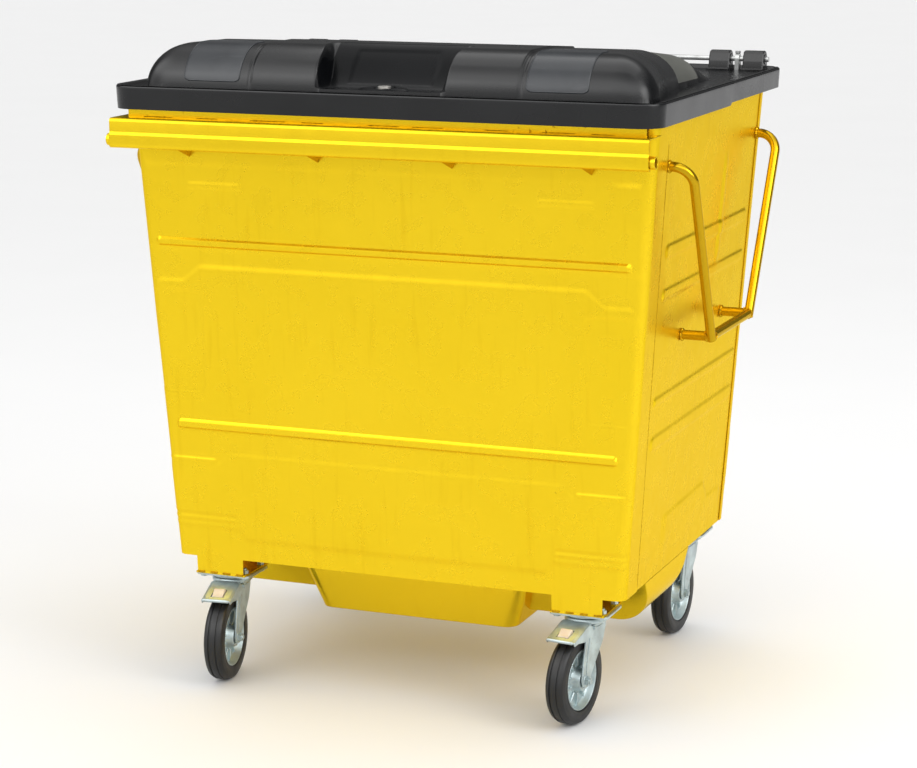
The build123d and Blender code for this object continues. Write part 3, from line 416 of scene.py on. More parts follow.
def yellow_paint(name, bevel_radius, dirt, gloss, shade=1.0, cover=0.78):
    """Glossy yellow over galvanised steel: runs and faint brown specks, edges darkened brown (partly wear,
    partly painted shade), and the whole colour darkened by shade where asked.
    """
    material, nodes = new_material(name)
    where = nodes.noise(6.0, 2.0)
    colour = nodes.mix(nodes.noise(3.0, 4.0), (0.800, 0.550, 0.012), (0.860, 0.600, 0.018))
    runs = nodes.ramp(nodes.noise(10.0, 5.0, (6, 6, 0.55)), (0.58, 0.0), (0.76, 0.22))
    colour = nodes.mix(runs, colour, (0.62, 0.37, 0.004))
    specks = nodes.ramp(nodes.noise(120.0, 2.0, (1, 1, 0.6)), (cover, 0.0), (cover + 0.05, 1.0))
    specks = nodes.maths("MULTIPLY", specks, nodes.ramp(where, (0.55, 0.0), (0.68, 1.0)))
    specks = nodes.maths("MULTIPLY", specks, 0.7 * dirt)
    colour = nodes.mix(specks, colour, (0.30, 0.13, 0.003))
    # Brown on the edges: partly wear, partly painted shade along edges and creases.
    if bevel_radius:
        worn_and_shaded = nodes.edge_mask(bevel_radius + 0.001)
        worn_and_shaded = nodes.maths("MULTIPLY", worn_and_shaded, nodes.ramp(where, (0.40, 0.05), (0.65, 0.45)))
        colour = nodes.mix(worn_and_shaded, colour, (0.42, 0.20, 0.004))
    # Darkens the whole colour by the shade factor: painted shade, for darker copies of this paint.
    colour = nodes.mix(1.0, colour, (shade, shade ** 1.25, shade), "MULTIPLY")
    nodes.surface("Base Color", colour)
    nodes.surface("Metallic", 0.82)
    nodes.surface("Specular Tint", (1.0, 0.82, 0.14, 1))
    nodes.surface("Roughness", nodes.ramp(nodes.noise(22.0, 5.0), (0.3, gloss), (0.7, gloss + 0.10)))
    peel = nodes.noise(160.0, 2.0)
    waves = nodes.noise(9.0, 2.0)
    nodes.bumps([(waves, 0.25, 0.004), (peel, 0.015, 0.0004)], bevel_radius)
    return material


def recess_share(nodes):
    """1 where a point lies in the lid's recess, and 0 elsewhere."""
    place = nodes.add("ShaderNodeSeparateXYZ", Vector=nodes.place["Object"]).outputs
    beside = nodes.maths("LESS_THAN", nodes.maths("ABSOLUTE", place["X"]), RECESS_HALF + 0.008)
    behind = nodes.maths("LESS_THAN", place["Y"], RECESS_BACK)
    before = nodes.maths("GREATER_THAN", place["Y"], DOME_FRONT + 0.001)
    return nodes.maths("MULTIPLY", beside, nodes.maths("MULTIPLY", behind, before))


def grained_plastic(name, colour, pale, roughness, grain):
    """Moulded plastic with a fine leather grain, scuffs, dust on its edges, and painted shade in the lid's
    recess, where it reflects less.
    """
    material, nodes = new_material(name)
    cells = nodes.add("ShaderNodeTexVoronoi", feature="SMOOTH_F1", Scale=grain, Vector=nodes.place["Object"])
    cloud = nodes.noise(7.0, 6.0)
    tone = nodes.mix(nodes.ramp(cloud, (0.35, 0.0), (0.75, 0.5)), colour, pale)
    scuff = nodes.noise(30.0, 6.0, (0.6, 2.5, 2.5))
    tone = nodes.mix(nodes.ramp(scuff, (0.62, 0.0), (0.80, 0.35)), tone, pale)
    tone = nodes.mix(nodes.maths("MULTIPLY", nodes.edge_mask(0.001), 0.45), tone, pale)
    nodes.surface("Base Color", tone)
    nodes.surface("Roughness", nodes.ramp(cloud, (0.3, roughness - 0.05), (0.7, roughness + 0.07)))
    # Less reflection in the lid's recess: painted shade.
    recess_shade = nodes.maths("MULTIPLY", recess_share(nodes), -0.30)
    nodes.surface("Specular IOR Level", nodes.maths("ADD", recess_shade, 0.42))
    nodes.bumps([(cells.outputs["Distance"], 0.14, 0.0006), (nodes.noise(700.0, 2.0), 0.06, 0.0003)])
    return material


def zinc_plate(name, bevel_radius=0.0012, tint=(0.56, 0.66, 0.67)):
    """Bright zinc plating with a blue-green cast, cloudy patches and fine scratches."""
    material, nodes = new_material(name)
    cloud = nodes.noise(26.0, 5.0)
    scratch = nodes.noise(60.0, 4.0, (1, 1, 9))
    dark = tuple(0.62 * c for c in tint)
    colour = nodes.mix(nodes.ramp(cloud, (0.3, 0.0), (0.7, 1.0)), dark, tint)
    stain = nodes.ramp(nodes.noise(90.0, 3.0), (0.62, 0.0), (0.75, 0.5))
    nodes.surface("Base Color", nodes.mix(stain, colour, (0.25, 0.24, 0.20)))
    nodes.surface("Metallic", 0.65)
    nodes.surface("Roughness", nodes.ramp(scratch, (0.3, 0.30), (0.75, 0.48)))
    nodes.bumps([(scratch, 0.06, 0.0004), (cloud, 0.12, 0.0010)], bevel_radius)
    return material


def tyre_rubber(name):
    """Black rubber with a mould bloom, fine pits and pale dust on the tread."""
    material, nodes = new_material(name)
    dust = nodes.noise(24.0, 6.0)
    bloom = nodes.ramp(dust, (0.45, 0.0), (0.75, 0.5))
    nodes.surface("Base Color", nodes.mix(bloom, (0.0022, 0.0024, 0.0026), (0.014, 0.014, 0.0135)))
    nodes.surface("Roughness", nodes.ramp(dust, (0.3, 0.38), (0.7, 0.55)))
    nodes.bumps([(nodes.noise(420.0, 3.0), 0.15, 0.0005)], 0.0008)
    return material


def moulded_plastic(name, colour, roughness):
    """Small plain mouldings: a faint mottle, soft scuffs and rounded edges."""
    material, nodes = new_material(name)
    cloud = nodes.noise(40.0, 5.0)
    pale = tuple(min(1.0, 1.5 * c + 0.005) for c in colour)
    nodes.surface("Base Color", nodes.mix(nodes.ramp(cloud, (0.4, 0.0), (0.8, 0.6)), colour, pale))
    nodes.surface("Roughness", nodes.ramp(cloud, (0.3, roughness - 0.06), (0.7, roughness + 0.06)))
    nodes.bumps([(nodes.noise(300.0, 3.0), 0.12, 0.0005)], 0.001)
    return material


PAINT = yellow_paint("sheet_paint", 0.0, 1.0, 0.24)
PAINT_PARTS = yellow_paint("parts_paint", 0.0018, 0.8, 0.16)
# A darker copy of the parts' paint: painted shade on the handle tubes and the rail's gussets.
SHADED_TUBE_PAINT = yellow_paint("tube_paint", 0.0, 0.8, 0.12, 0.62)
NECK_PAINT = yellow_paint("neck_paint", 0.0018, 1.3, 0.16, 1.0, 0.62)
# A darker copy of the yellow paint: painted shade along the side seams and the tab welds.
SHADED_SEAM_PAINT = yellow_paint("seam_paint", 0.0, 1.3, 0.30, 0.50, 0.60)
LID_PLASTIC = grained_plastic("lid_grain", (0.0007, 0.0010, 0.0016), (0.0052, 0.0058, 0.0070), 0.24, 420.0)
PATCH_PLASTIC = grained_plastic("patch_plastic", (0.018, 0.021, 0.025), (0.060, 0.064, 0.070), 0.20, 900.0)
DULL_PLASTIC = grained_plastic("dull_plastic", (0.085, 0.087, 0.076), (0.15, 0.15, 0.135), 0.45, 420.0)
BLACK_PLASTIC = moulded_plastic("black_moulding", (0.0025, 0.0025, 0.003), 0.26)
ZINC = zinc_plate("zinc_plate")
GALVANISED = zinc_plate("galvanised", 0.0015, (0.66, 0.67, 0.66))
LOCK_METAL = zinc_plate("lock_plating", 0.0008, (0.60, 0.58, 0.54))
RUBBER = tyre_rubber("tyre_rubber")
BEIGE = moulded_plastic("beige_moulding", (0.74, 0.60, 0.45), 0.42)
PLUG = moulded_plastic("plug_moulding", (0.012, 0.012, 0.013), 0.45)

FINISHES = {
    "yellow_paint": PAINT_PARTS,
    "lid_plastic": LID_PLASTIC,
    "black_plastic": BLACK_PLASTIC,
    "zinc_steel": ZINC,
    "galvanised_steel": GALVANISED,
    "lock_metal": LOCK_METAL,
    "tyre_rubber": RUBBER,
    "beige_plastic": BEIGE,
    "plug_plastic": PLUG,
}


def finish_cad_nodes():
    """Every CAD node that stays gets the detailed material of its slot."""
    slots = {entry["node"]: entry["material_slot"] for entry in frame["record"]["subparts"]}
    for name, node in frame["nodes"].items():
        node.data.materials.clear()
        node.data.materials.append(NECK_PAINT if name == "front_rim" else FINISHES[slots[name]])


# ---------------------------------------------------------------- body

LOW_LEFT, LOW_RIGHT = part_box("floor_pan")
Z_LOW = LOW_RIGHT.z
Z_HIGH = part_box("front_panel")[1].z
Z_EDGE = Z_LOW - 0.004       # lower edge of the panels
HALF_LOW = LOW_RIGHT.x + SHEET
HALF_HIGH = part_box("right_side_panel")[1].x
FRONT_LOW = LOW_LEFT.y - SHEET
FRONT_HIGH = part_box("front_panel")[0].y
REAR_LOW = LOW_RIGHT.y + SHEET
REAR_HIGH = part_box("rear_panel")[1].y


def at_height(z, low, high):
    """A value that changes evenly from the foot of the panels to their top."""
    return low + (high - low) * (z - Z_LOW) / (Z_HIGH - Z_LOW)


def half_width(z):
    """Half of the width of the plain, tapered body."""
    return at_height(z, HALF_LOW, HALF_HIGH)


def front_y(z):
    """Where its plain front stands."""
    return at_height(z, FRONT_LOW, FRONT_HIGH)


def rear_y(z):
    """Where its plain rear stands."""
    return at_height(z, REAR_LOW, REAR_HIGH)


def dents(along, z, seed):
    """The slow unevenness of thin pressed sheet, in metres."""
    random = np.random.default_rng(seed)
    total = np.zeros(np.broadcast(along, z).shape)
    for _ in range(DENT_WAVES):
        a, b = random.uniform(3, 11, 2)
        shift = random.uniform(0, 6.28, 2)
        total = total + np.sin(a * along + shift[0]) * np.sin(b * z + shift[1])
    return DENT * total / DENT_WAVES


def bead(x, z, x_low, x_high, z_middle, half_height, height, slope=0.005):
    """A raised bead with round ends."""
    end = half_height
    beyond = np.maximum(np.maximum(x_low + end - x, x - (x_high - end)), 0)
    distance = np.hypot(beyond, z - z_middle)
    return height * (1 - smooth(distance, half_height - slope, half_height))


def broken_line(x, points):
    """Height of a line that runs straight through (x, z) points."""
    xs, zs = zip(*points)
    return np.interp(x, xs, zs)


def field(x, z, top, bottom, side, height, slope=SLOPE, corner=0.03):
    """A raised field between two lines and two upright sides, with sloping borders."""
    inside_z = np.minimum(top - z, z - bottom)
    inside_x = side - np.abs(x)
    near_z = corner - np.minimum(inside_z, corner)
    near_x = corner - np.minimum(inside_x, corner)
    in_corner = (near_z > 0) & (near_x > 0)
    distance = np.where(in_corner, corner - np.hypot(near_z, near_x), np.minimum(inside_z, inside_x))
    return height * smooth(distance, 0, slope)


FIELD_RELIEF = 0.0027
UPPER_RIB = (-0.560, 0.560, 1.0175, 0.0105, 0.0052)
LOWER_RIB = (-0.528, 0.528, 0.598, 0.0115, 0.0058)

# Beads at both ends, from the middle outwards: from, to, height, half width, relief and slope.
END_BEADS = (
    (0.428, 0.556, 0.5165, 0.0075, 0.0025, 0.006),
    (0.380, 0.560, 0.3865, 0.0060, -0.0022, 0.005),
    (0.380, 0.560, 0.3715, 0.0060, -0.0022, 0.005),
    (0.345, 0.480, 1.147, 0.0085, 0.0011, 0.004),
)


def front_field_depth(x, z):
    """How far the pressed front stands out from its plain taper, in metres."""
    a = np.abs(x)
    panel = (1 + 1.6 * smooth(x, 0.50, 0.56)) * (1 - smooth(a, 0.574, 0.590))
    depth = 0.0011 * panel * (1 - smooth(z, 1.184, 1.202)) * smooth(z, 0.995, 1.010)
    step = broken_line(a, [(0, 0.975), (0.455, 0.975), (0.498, 0.941), (0.70, 0.941)])
    depth += field(x, z, step, 0.20, 0.580, FIELD_RELIEF, 0.020) * smooth(z, 0.60, 0.90)
    depth -= 0.0016 * field(a - 0.513, z, 0.912, 0.672, 0.064, 1.0, 0.007, 0.022)
    low_step = broken_line(a, [(0, 0.545), (0.400, 0.545), (0.424, 0.520), (0.70, 0.520)])
    low_edge = broken_line(a, [(0, 0.327), (0.363, 0.327), (0.378, 0.352), (0.70, 0.352)])
    depth += field(x, z, low_step, low_edge, 0.566, FIELD_RELIEF, 0.018)
    depth += bead(x, z, *UPPER_RIB) + bead(x, z, *LOWER_RIB)
    for side in (-1, 1):
        for end_bead in END_BEADS:
            depth += bead(side * x, z, *end_bead)
    return depth


def wrapped_sheet(line, wrap, side, seed):
    """The front or rear sheet, wrapped round both corners, as a grid of points.

    side is -1 at the front and 1 at the rear; line gives where the plain sheet stands."""
    flat = half_width(Z_HIGH) - CORNER
    tab_x = [TAB_SIDES[0] - TAB_STEP, TAB_SIDES[0], TAB_SIDES[1], TAB_SIDES[1] + TAB_STEP]
    xs = spread(sorted([-flat, flat, 0.0] + tab_x + [-x for x in tab_x]), CELL)
    arc = np.linspace(0, math.pi / 2, 13)
    back = spread([0, wrap - CORNER], 0.008)[1:]
    strip = Z_EDGE + SKIRT
    zs = spread([Z_EDGE, strip, 0.58, 0.62, 1.0, 1.04, Z_HIGH], CELL)
    columns = [("back", -1, value) for value in back[::-1]]
    columns += [("arc", -1, value) for value in arc[::-1]]
    columns += [("flat", 1, value) for value in xs[1:-1]]
    columns += [("arc", 1, value) for value in arc]
    columns += [("back", 1, value) for value in back]
    grid = np.zeros((len(zs), len(columns), 3))
    for number, (kind, right, value) in enumerate(columns):
        z = zs.copy()
        on_tab = TAB_SIDES[0] - TAB_STEP / 2 < abs(value) < TAB_SIDES[1] + TAB_STEP / 2
        hang = Z_EDGE - TAB_BOTTOM if kind == "flat" and on_tab else 0.0
        low = z < strip
        z[low] = strip - (strip - z[low]) * (SKIRT + hang) / SKIRT
        half = half_width(z)
        y = line(z)
        if kind == "flat":
            out = (0.0, 1.0)
            beyond = max(abs(value) - INNER_HALF, 0) / (flat - INNER_HALF)
            x = min(abs(value), INNER_HALF) + beyond * (half - CORNER - INNER_HALF)
            x = math.copysign(1, value) * x
        elif kind == "arc":
            out = (right * math.sin(value), math.cos(value))
            x = right * (half - CORNER) + CORNER * out[0]
            y = y - side * CORNER * (1 - out[1])
        else:
            out = (right, 0.0)
            x = right * half
            y = y - side * (CORNER + value)
        relief = front_field_depth(x, z) * out[1] + dents(x + y, z, seed)
        grid[:, number] = grid_of(x + out[0] * relief, y + side * out[1] * relief, z)
    return grid if side < 0 else grid[:, ::-1]


def end_sheets():
    """The front and rear sheets."""
    sheets = (("front", front_y, FRONT_WRAP, -1, 3), ("rear", rear_y, REAR_WRAP, 1, 8))
    for name, line, wrap, side, seed in sheets:
        sheet = sheet_mesh(wrapped_sheet(line, wrap, side, seed), SHEET)
        add_piece(f"{name}_sheet", [sheet], PAINT, "tub", [f"{name}_panel"])


def side_field_depth(y, z):
    """How far the pressed side stands out from its plain taper, in metres."""
    depth = np.zeros(np.broadcast(y, z).shape)
    for low, high in ((1.021, 1.049), (0.930, 0.952), (0.697, 0.714), (0.597, 0.626)):
        depth += bead(y, z, -0.285, 0.345, (low + high) / 2, (high - low) / 2 + 0.004, 0.0032, 0.008)
    zigzag = broken_line(y, [(-0.40, 0.418), (-0.117, 0.422), (0.168, 0.430), (0.205, 0.387), (0.45, 0.383)])
    ends = smooth(y, -0.150, -0.110) * (1 - smooth(y, 0.300, 0.330))
    depth += 0.0030 * (1 - smooth(z, zigzag - 0.010, zigzag)) * ends * smooth(z, 0.285, 0.40)
    ridge = broken_line(z, [(0.954, 0.120), (1.204, 0.137)])
    along = smooth(z, 0.940, 0.990) * (1 - smooth(z, 1.170, 1.215))
    depth += 0.0032 * (1 - smooth(np.abs(y - ridge), 0.003, 0.020)) * along
    return depth


def side_sheet(side):
    """A flat side sheet, tucked behind the wrapped edges of the front and rear sheets."""
    under = 0.010
    z = spread([Z_EDGE, 0.40, 0.58, 0.64, 0.69, 0.72, 0.92, 1.06, Z_HIGH], CELL)[:, None]
    start = front_y(z) + FRONT_WRAP - under
    end = rear_y(z) - REAR_WRAP + under
    y = start + np.linspace(0, 1, 172) * (end - start)
    near_edge = np.minimum(y - start, end - y)
    tuck = SEAM_STEP + 0.0006 + 0.0006 * (1 - smooth(near_edge, under, under + 0.01))
    relief = side_field_depth(y, z) + dents(y, z, 5 + side)
    grid = grid_of(side * (half_width(z) - tuck + np.where(near_edge > under, relief, 0)), y, z)
    if side < 0:
        grid = grid[:, ::-1]
    name = f"{HANDS[side]}_side"
    sheet = sheet_mesh(grid, SHEET * 0.8)
    add_piece(f"{name}_sheet", [sheet], PAINT, "tub", [f"{name}_panel"])


# ---------------------------------------------------------------- lid

LID_LOW, LID_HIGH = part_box("lid_shell")
LID_HALF = LID_HIGH.x + 0.010
LID_FRONT = LID_LOW.y
LID_REAR = LID_HIGH.y + 0.012
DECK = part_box("right_hinge_blocks")[0].z
DOME_HEIGHT = 0.098
DOME_RADIUS = 0.100
DOME_SHIFT = 0.010           # the dome stands this far to the right of the lid's middle
TAIL_RADIUS = 0.085
TAIL_START = -0.080
LID_CORNER = 0.055
LID_WALL = 0.004
LID_EDGE = 0.005             # radius of the rim's rounded outer edge
LIP_HEIGHT = 0.009           # how far the rim stands above the deck
SKIRT_STEPS = 7
SKIRT_DRAFT = 0.0022         # how far the skirt draws in towards its lower edge
BAND = (-0.302, 0.313)       # the dome's raised middle band
PATCHES = ((-0.466, -0.334), (0.332, 0.467))
LOCK_PLACE = Vector(joints["lock_turn"]["pos_m"])
RECESS_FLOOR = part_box("lock_plate")[0].z


def dome_half(y):
    """Half of the dome's width at its base."""
    return broken_line(y, [(-0.44, 0.598), (-0.370, 0.594), (-0.243, 0.566), (-0.085, 0.545), (0.205, 0.536)])


def dome_height(x, y):
    """Height of the lid's raised part above its deck, before the recess is cut."""
    crest = broken_line(y, [(-0.44, DOME_HEIGHT), (-0.24, DOME_HEIGHT), (-0.08, 0.086), (0.105, 0.066),
                            (0.125, 0.060), (0.215, 0.010), (0.235, 0.0)])
    loaf = 1 - smooth(y, TAIL_START - 0.003, TAIL_START + 0.003)
    radius = TAIL_RADIUS + (DOME_RADIUS - TAIL_RADIUS) * loaf
    half = dome_half(y) - 0.006 * (1 - loaf)
    lean_x = 1 - np.clip((half - np.abs(x - DOME_SHIFT)) / radius, 0, 1)
    lean_y = 1 - np.clip((y - DOME_FRONT) / DOME_RADIUS, 0, 1)
    lean = (lean_x ** 3.2 + lean_y ** 3.2) ** (1 / 3.2)
    height = (crest - 0.004 * (1 - loaf)) * np.sqrt(np.maximum(1 - lean ** 2, 0))
    band = smooth(x, BAND[0] - 0.002, BAND[0] + 0.002) * (1 - smooth(x, BAND[1] - 0.002, BAND[1] + 0.002))
    relief = 0.0035 * band
    for edge in BAND:
        outer = edge + (-0.007 if edge < 0 else 0.007)
        relief -= 0.0030 * (1 - smooth(np.abs(x - outer), 0.0015, 0.005))
    return np.maximum(height + relief * smooth(height, 0.004, 0.020), 0) * (height > 0)


def lid_height(x, y):
    """Height of the lid's top surface above the floor."""
    x, y = np.broadcast_arrays(x, y)
    rim_distance = np.minimum.reduce([LID_HALF - np.abs(x), y - LID_FRONT, LID_REAR - y])
    lip = LIP_HEIGHT * (1 - smooth(rim_distance, 0.014, 0.026))
    surface = DECK + np.maximum(lip, dome_height(x, y))
    frame = np.minimum.reduce([0.100 - np.abs(x), y + 0.382, -0.314 - y])
    back = RECESS_FLOOR + 0.092 * smooth(y, -0.400, -0.285) ** 0.9 - 0.0022 * smooth(frame, 0.0, 0.004)
    out = np.hypot((x - LOCK_PLACE.x) / 0.060, (y - LOCK_PLACE.y) / 0.026)
    well = np.hypot(x - LOCK_PLACE.x, y - LOCK_PLACE.y)
    boss = 0.0045 * (1 - smooth(out, 0.84, 1.0)) * smooth(well, 0.0215, 0.0235)
    boss = boss - 0.0008 * (1 - smooth(well, 0.02, 0.024))
    inside = RECESS_HALF + recess_shift(y) - np.abs(x)
    wall = smooth(inside, -0.012, 0.006) * (1 - smooth(y, -0.292, -0.280))
    cut = np.minimum(surface, back + boss)
    return np.where(y < DOME_FRONT - 0.001, surface, surface + (cut - surface) * wall)


def recess_shift(y):
    """How much wider the recess is at its slanted back than at its front."""
    return 0.016 * smooth(y, -0.40, -0.30)


def lid_outline_half(y):
    """Half of the lid's width at a distance from front to rear, with its round plan corners."""
    near_front = np.maximum(LID_CORNER - (y - LID_FRONT), 0)
    near_rear = np.maximum(LID_CORNER - (LID_REAR - y), 0)
    near = np.minimum(np.maximum(near_front, near_rear), LID_CORNER)
    return LID_HALF - LID_CORNER + np.sqrt(np.maximum(LID_CORNER ** 2 - near ** 2, 0))


def varied_spread(steps):
    """Positions from (limit, spacing up to it) pairs; the first pair's limit starts the list."""
    places = [steps[0][0]]
    for limit, spacing in steps[1:]:
        places += spread([places[-1], limit], spacing)[1:].tolist()
    return np.array(places)


def lid_top():
    """The lid's outer top surface as a grid of points, denser where it is steep."""
    corner = LID_CORNER * (1 - np.cos(np.linspace(0, math.pi / 2, 11)))
    middle = varied_spread([
        (LID_FRONT + 0.026, 0), (-0.4440, 0.003), (-0.4300, 0.0012), (-0.385, 0.002), (-0.270, 0.003),
        (-0.090, 0.006), (-0.070, 0.0015), (0.100, 0.006), (0.240, 0.004), (LID_REAR - LID_CORNER, 0.006),
    ])
    front = LID_FRONT + corner
    y = np.concatenate([front[front < LID_FRONT + 0.025], middle, (LID_REAR - corner)[::-1][1:]])[:, None]
    half = varied_spread([
        (0.0, 0), (0.125, 0.004), (0.166, 0.0015), (0.296, 0.005), (0.340, 0.0012), (0.455, 0.005),
        (0.475, 0.0025), (0.570, 0.003), (0.612, 0.0014), (LID_HALF, 0.003),
    ])
    plain = np.concatenate([-half[:0:-1], half])
    near_wall = smooth(np.abs(plain), 0.06, 0.125) * (1 - smooth(np.abs(plain), 0.166, 0.28))
    x = plain * lid_outline_half(y) / LID_HALF + np.sign(plain) * near_wall * recess_shift(y)
    return grid_of(x, y, lid_height(x, y))


def lid_inside(top):
    """The inner face of the top: lower by the wall, and drawn in from the rim."""
    inner = top.copy()
    beside = LID_HALF - np.abs(top[..., 0])
    inner[..., 0] -= np.sign(top[..., 0]) * LID_WALL * (1 - smooth(beside, 0.02, 0.12))
    inner[..., 1] += LID_WALL * (1 - smooth(top[..., 1] - LID_FRONT, 0.02, 0.12))
    inner[..., 1] -= LID_WALL * (1 - smooth(LID_REAR - top[..., 1], 0.02, 0.12))
    inner[..., 2] -= LID_WALL
    return inner


def lid_shell():
    """The lid as one closed wall: its top, a rounded rim, the skirt and the inner faces."""
    top = lid_top()
    rows, columns = top.shape[:2]
    border = border_of(np.arange(rows * columns).reshape(rows, columns))
    inner = lid_inside(top).reshape(-1, 3)
    top = top.reshape(-1, 3)
    rim = top[border]
    core = np.array((LID_HALF - LID_CORNER, (LID_REAR - LID_FRONT) / 2 - LID_CORNER))
    out = rim[:, :2] - np.array([0, (LID_FRONT + LID_REAR) / 2])
    out = unit(out - np.clip(out, -core, core))
    behind = smooth(rim[:, 1], LID_REAR - 0.045, LID_REAR - 0.005)
    bottom = LID_LOW.z - 0.003 + 0.014 * behind + 0.006 * smooth(rim[:, 1], 0.055, 0.062) * (1 - behind)
    rings = []
    for angle in np.linspace(0, math.pi / 2, 6)[1:]:
        ring = rim.copy()
        ring[:, :2] -= out * LID_EDGE * (1 - math.sin(angle))
        ring[:, 2] -= LID_EDGE * (1 - math.cos(angle))
        rings.append(ring)
    side = rings[-1]
    shares = [step / SKIRT_STEPS for step in range(1, SKIRT_STEPS + 1)]
    outer_skirt = [(share, SKIRT_DRAFT * share) for share in shares]
    inner_skirt = [(1.0, 0.0062), (0.6, 0.0052), (0.3, 0.0045)]
    for share, inset in outer_skirt + inner_skirt:
        ring = side.copy()
        ring[:, 2] += (bottom - ring[:, 2]) * share
        ring[:, :2] -= out * inset
        rings.append(ring)
    top[border, :2] -= out * LID_EDGE
    count = len(border)
    inner_start = len(top) + count * len(rings)
    faces = grid_faces(rows, columns)
    faces += [face[::-1] for face in grid_faces(rows, columns, inner_start)]
    loops = [border] + [np.arange(count) + len(top) + number * count for number in range(len(rings))]
    loops.append(border + inner_start)
    for above, below in zip(loops, loops[1:]):
        quads = np.stack([np.roll(above, -1), above, below, np.roll(below, -1)], axis=1)
        faces += quads.tolist()
    points = np.concatenate([top] + rings + [inner])
    add_piece("lid", [(points, faces)], LID_PLASTIC, "lid", ["lid_shell"], 40)


def rounded_share(count, length, width, radius):
    """How wide each row of a round-cornered patch is, as a share of its full width."""
    along = np.linspace(0, length, count)
    near = np.maximum(radius - np.minimum(along, length - along), 0)
    return 1 - (radius - np.sqrt(np.maximum(radius ** 2 - near ** 2, 0))) * 2 / width


def raised_patch(name, grid, material, beaded):
    """A thin panel on the lid's surface, with a fine bead round its edge where asked."""
    if grid_normals(grid)[..., 2].mean() < 0:
        grid = grid[:, ::-1]
    parts = [sheet_mesh(grid + grid_normals(grid) * 0.0010, 0.0022)]
    if beaded:
        parts.append(tube_mesh(np.concatenate([border_of(grid), grid[0, :2]]), 0.0021, 8))
    add_piece(name, parts, material, "lid")


def front_patches():
    """The two smooth rectangles on the dome's front curve."""
    turns = np.radians(np.linspace(13, 90, 40))
    curve = DOME_FRONT + DOME_RADIUS * (1 - np.cos(turns))
    y = np.concatenate([curve, np.linspace(-0.334, -0.300, 10)])[:, None]
    for name, (low, high) in zip(("left_front_patch", "right_front_patch"), PATCHES):
        width = high - low
        share = rounded_share(len(y), 0.19, width, 0.010)[:, None]
        x = (low + high) / 2 + np.linspace(-0.5, 0.5, 40) * width * share
        raised_patch(name, grid_of(x, y, lid_height(x, y)), PATCH_PLASTIC, True)


def side_patches():
    """The duller areas on the two ends of the dome's tail."""
    turn = np.linspace(10, 84, 36)[:, None]
    near = np.maximum(0.02 - (84 - turn) / 84 * 0.13, 0)
    y = -0.068 + np.linspace(0, 0.166, 40) * (1 - near * 2)
    reach = dome_half(y) - 0.006 - TAIL_RADIUS * (1 - np.cos(np.radians(turn)))
    for side, hand in HANDS.items():
        x = side * reach + DOME_SHIFT
        raised_patch(f"{hand}_side_patch", grid_of(x, y, lid_height(x, y)), DULL_PLASTIC, False)


def hinge_blocks(side):
    """Moulded bearing blocks with round tops, a foot under each and a round collar at each end."""
    name = f"{HANDS[side]}_hinge_blocks"
    low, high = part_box(name)
    axis = Vector(joints["lid_hinge"]["pos_m"])
    half = 0.025
    radius = (high.y - low.y) / 2
    front = axis.y - radius
    rear = axis.y + radius
    crest = 0.55 * radius
    outline = [(front - 0.004, low.z), (rear, low.z), (rear, axis.z + 0.006), (axis.y + crest, high.z),
               (axis.y - crest, high.z), (front, axis.z - 0.004)]
    outline = round_corners(outline, [0.002, 0.002, 0.009, 0.011, 0.011, 0.012])
    ring = rectangle(axis.y - 0.012, axis.z - 0.012, axis.y + 0.012, axis.z + 0.012)
    ring = round_corners(ring, 0.0115)
    parts = []
    for middle in (low.x + half, high.x - half):
        parts.append(prism_mesh(outline, middle - half, middle + half, "x", 0.0025))
        for end in (-1, 1):
            start = middle + end * (half - 0.002)
            low_x, high_x = sorted((start, start + end * 0.0035))
            parts.append(prism_mesh(ring, low_x, high_x, "x", 0.0008))
        foot = rectangle(middle - half - 0.003, front - 0.014, middle + half + 0.003, rear - 0.001)
        parts.append(prism_mesh(round_corners(foot, 0.004, 3), low.z - 0.002, low.z + 0.0055, "z", 0.0012))
    add_piece(name + "_moulded", parts, BLACK_PLASTIC, "lid", [name])


# ---------------------------------------------------------------- side handles

def weld_bead(path, size, seed):
    """A hand-laid weld: a knobbly bead along a path."""
    random = np.random.default_rng(seed)
    path = np.asarray(path, float)
    count = max(6, int(np.sum(np.linalg.norm(np.diff(path, axis=0), axis=1)) / (size * 0.35)))
    at = np.linspace(0, len(path) - 1, count)
    line = np.stack([np.interp(at, np.arange(len(path)), path[:, k]) for k in range(3)], axis=1)
    swell = size * (0.80 + 0.22 * np.sin(np.arange(count) * 1.9) + random.uniform(-0.12, 0.12, count))
    swell[0] = swell[-1] = size * 0.35
    line += random.uniform(-0.12, 0.12, (count, 3)) * size
    return tube_mesh(line, swell, 9)


def level_weld(start, length, y, z, size, seed):
    """A straight weld along x."""
    return weld_bead([(start, y, z), (start + length, y, z)], size, seed)


def ring_path(centre, normal, radius, count=20):
    """A circle of points round a centre, square to a normal."""
    normal = Vector(normal).normalized()
    across = normal.orthogonal().normalized()
    other = normal.cross(across)
    points = []
    for angle in np.linspace(0, 2 * math.pi, count):
        points.append(Vector(centre) + radius * (math.cos(angle) * across + math.sin(angle) * other))
    return np.array(points)


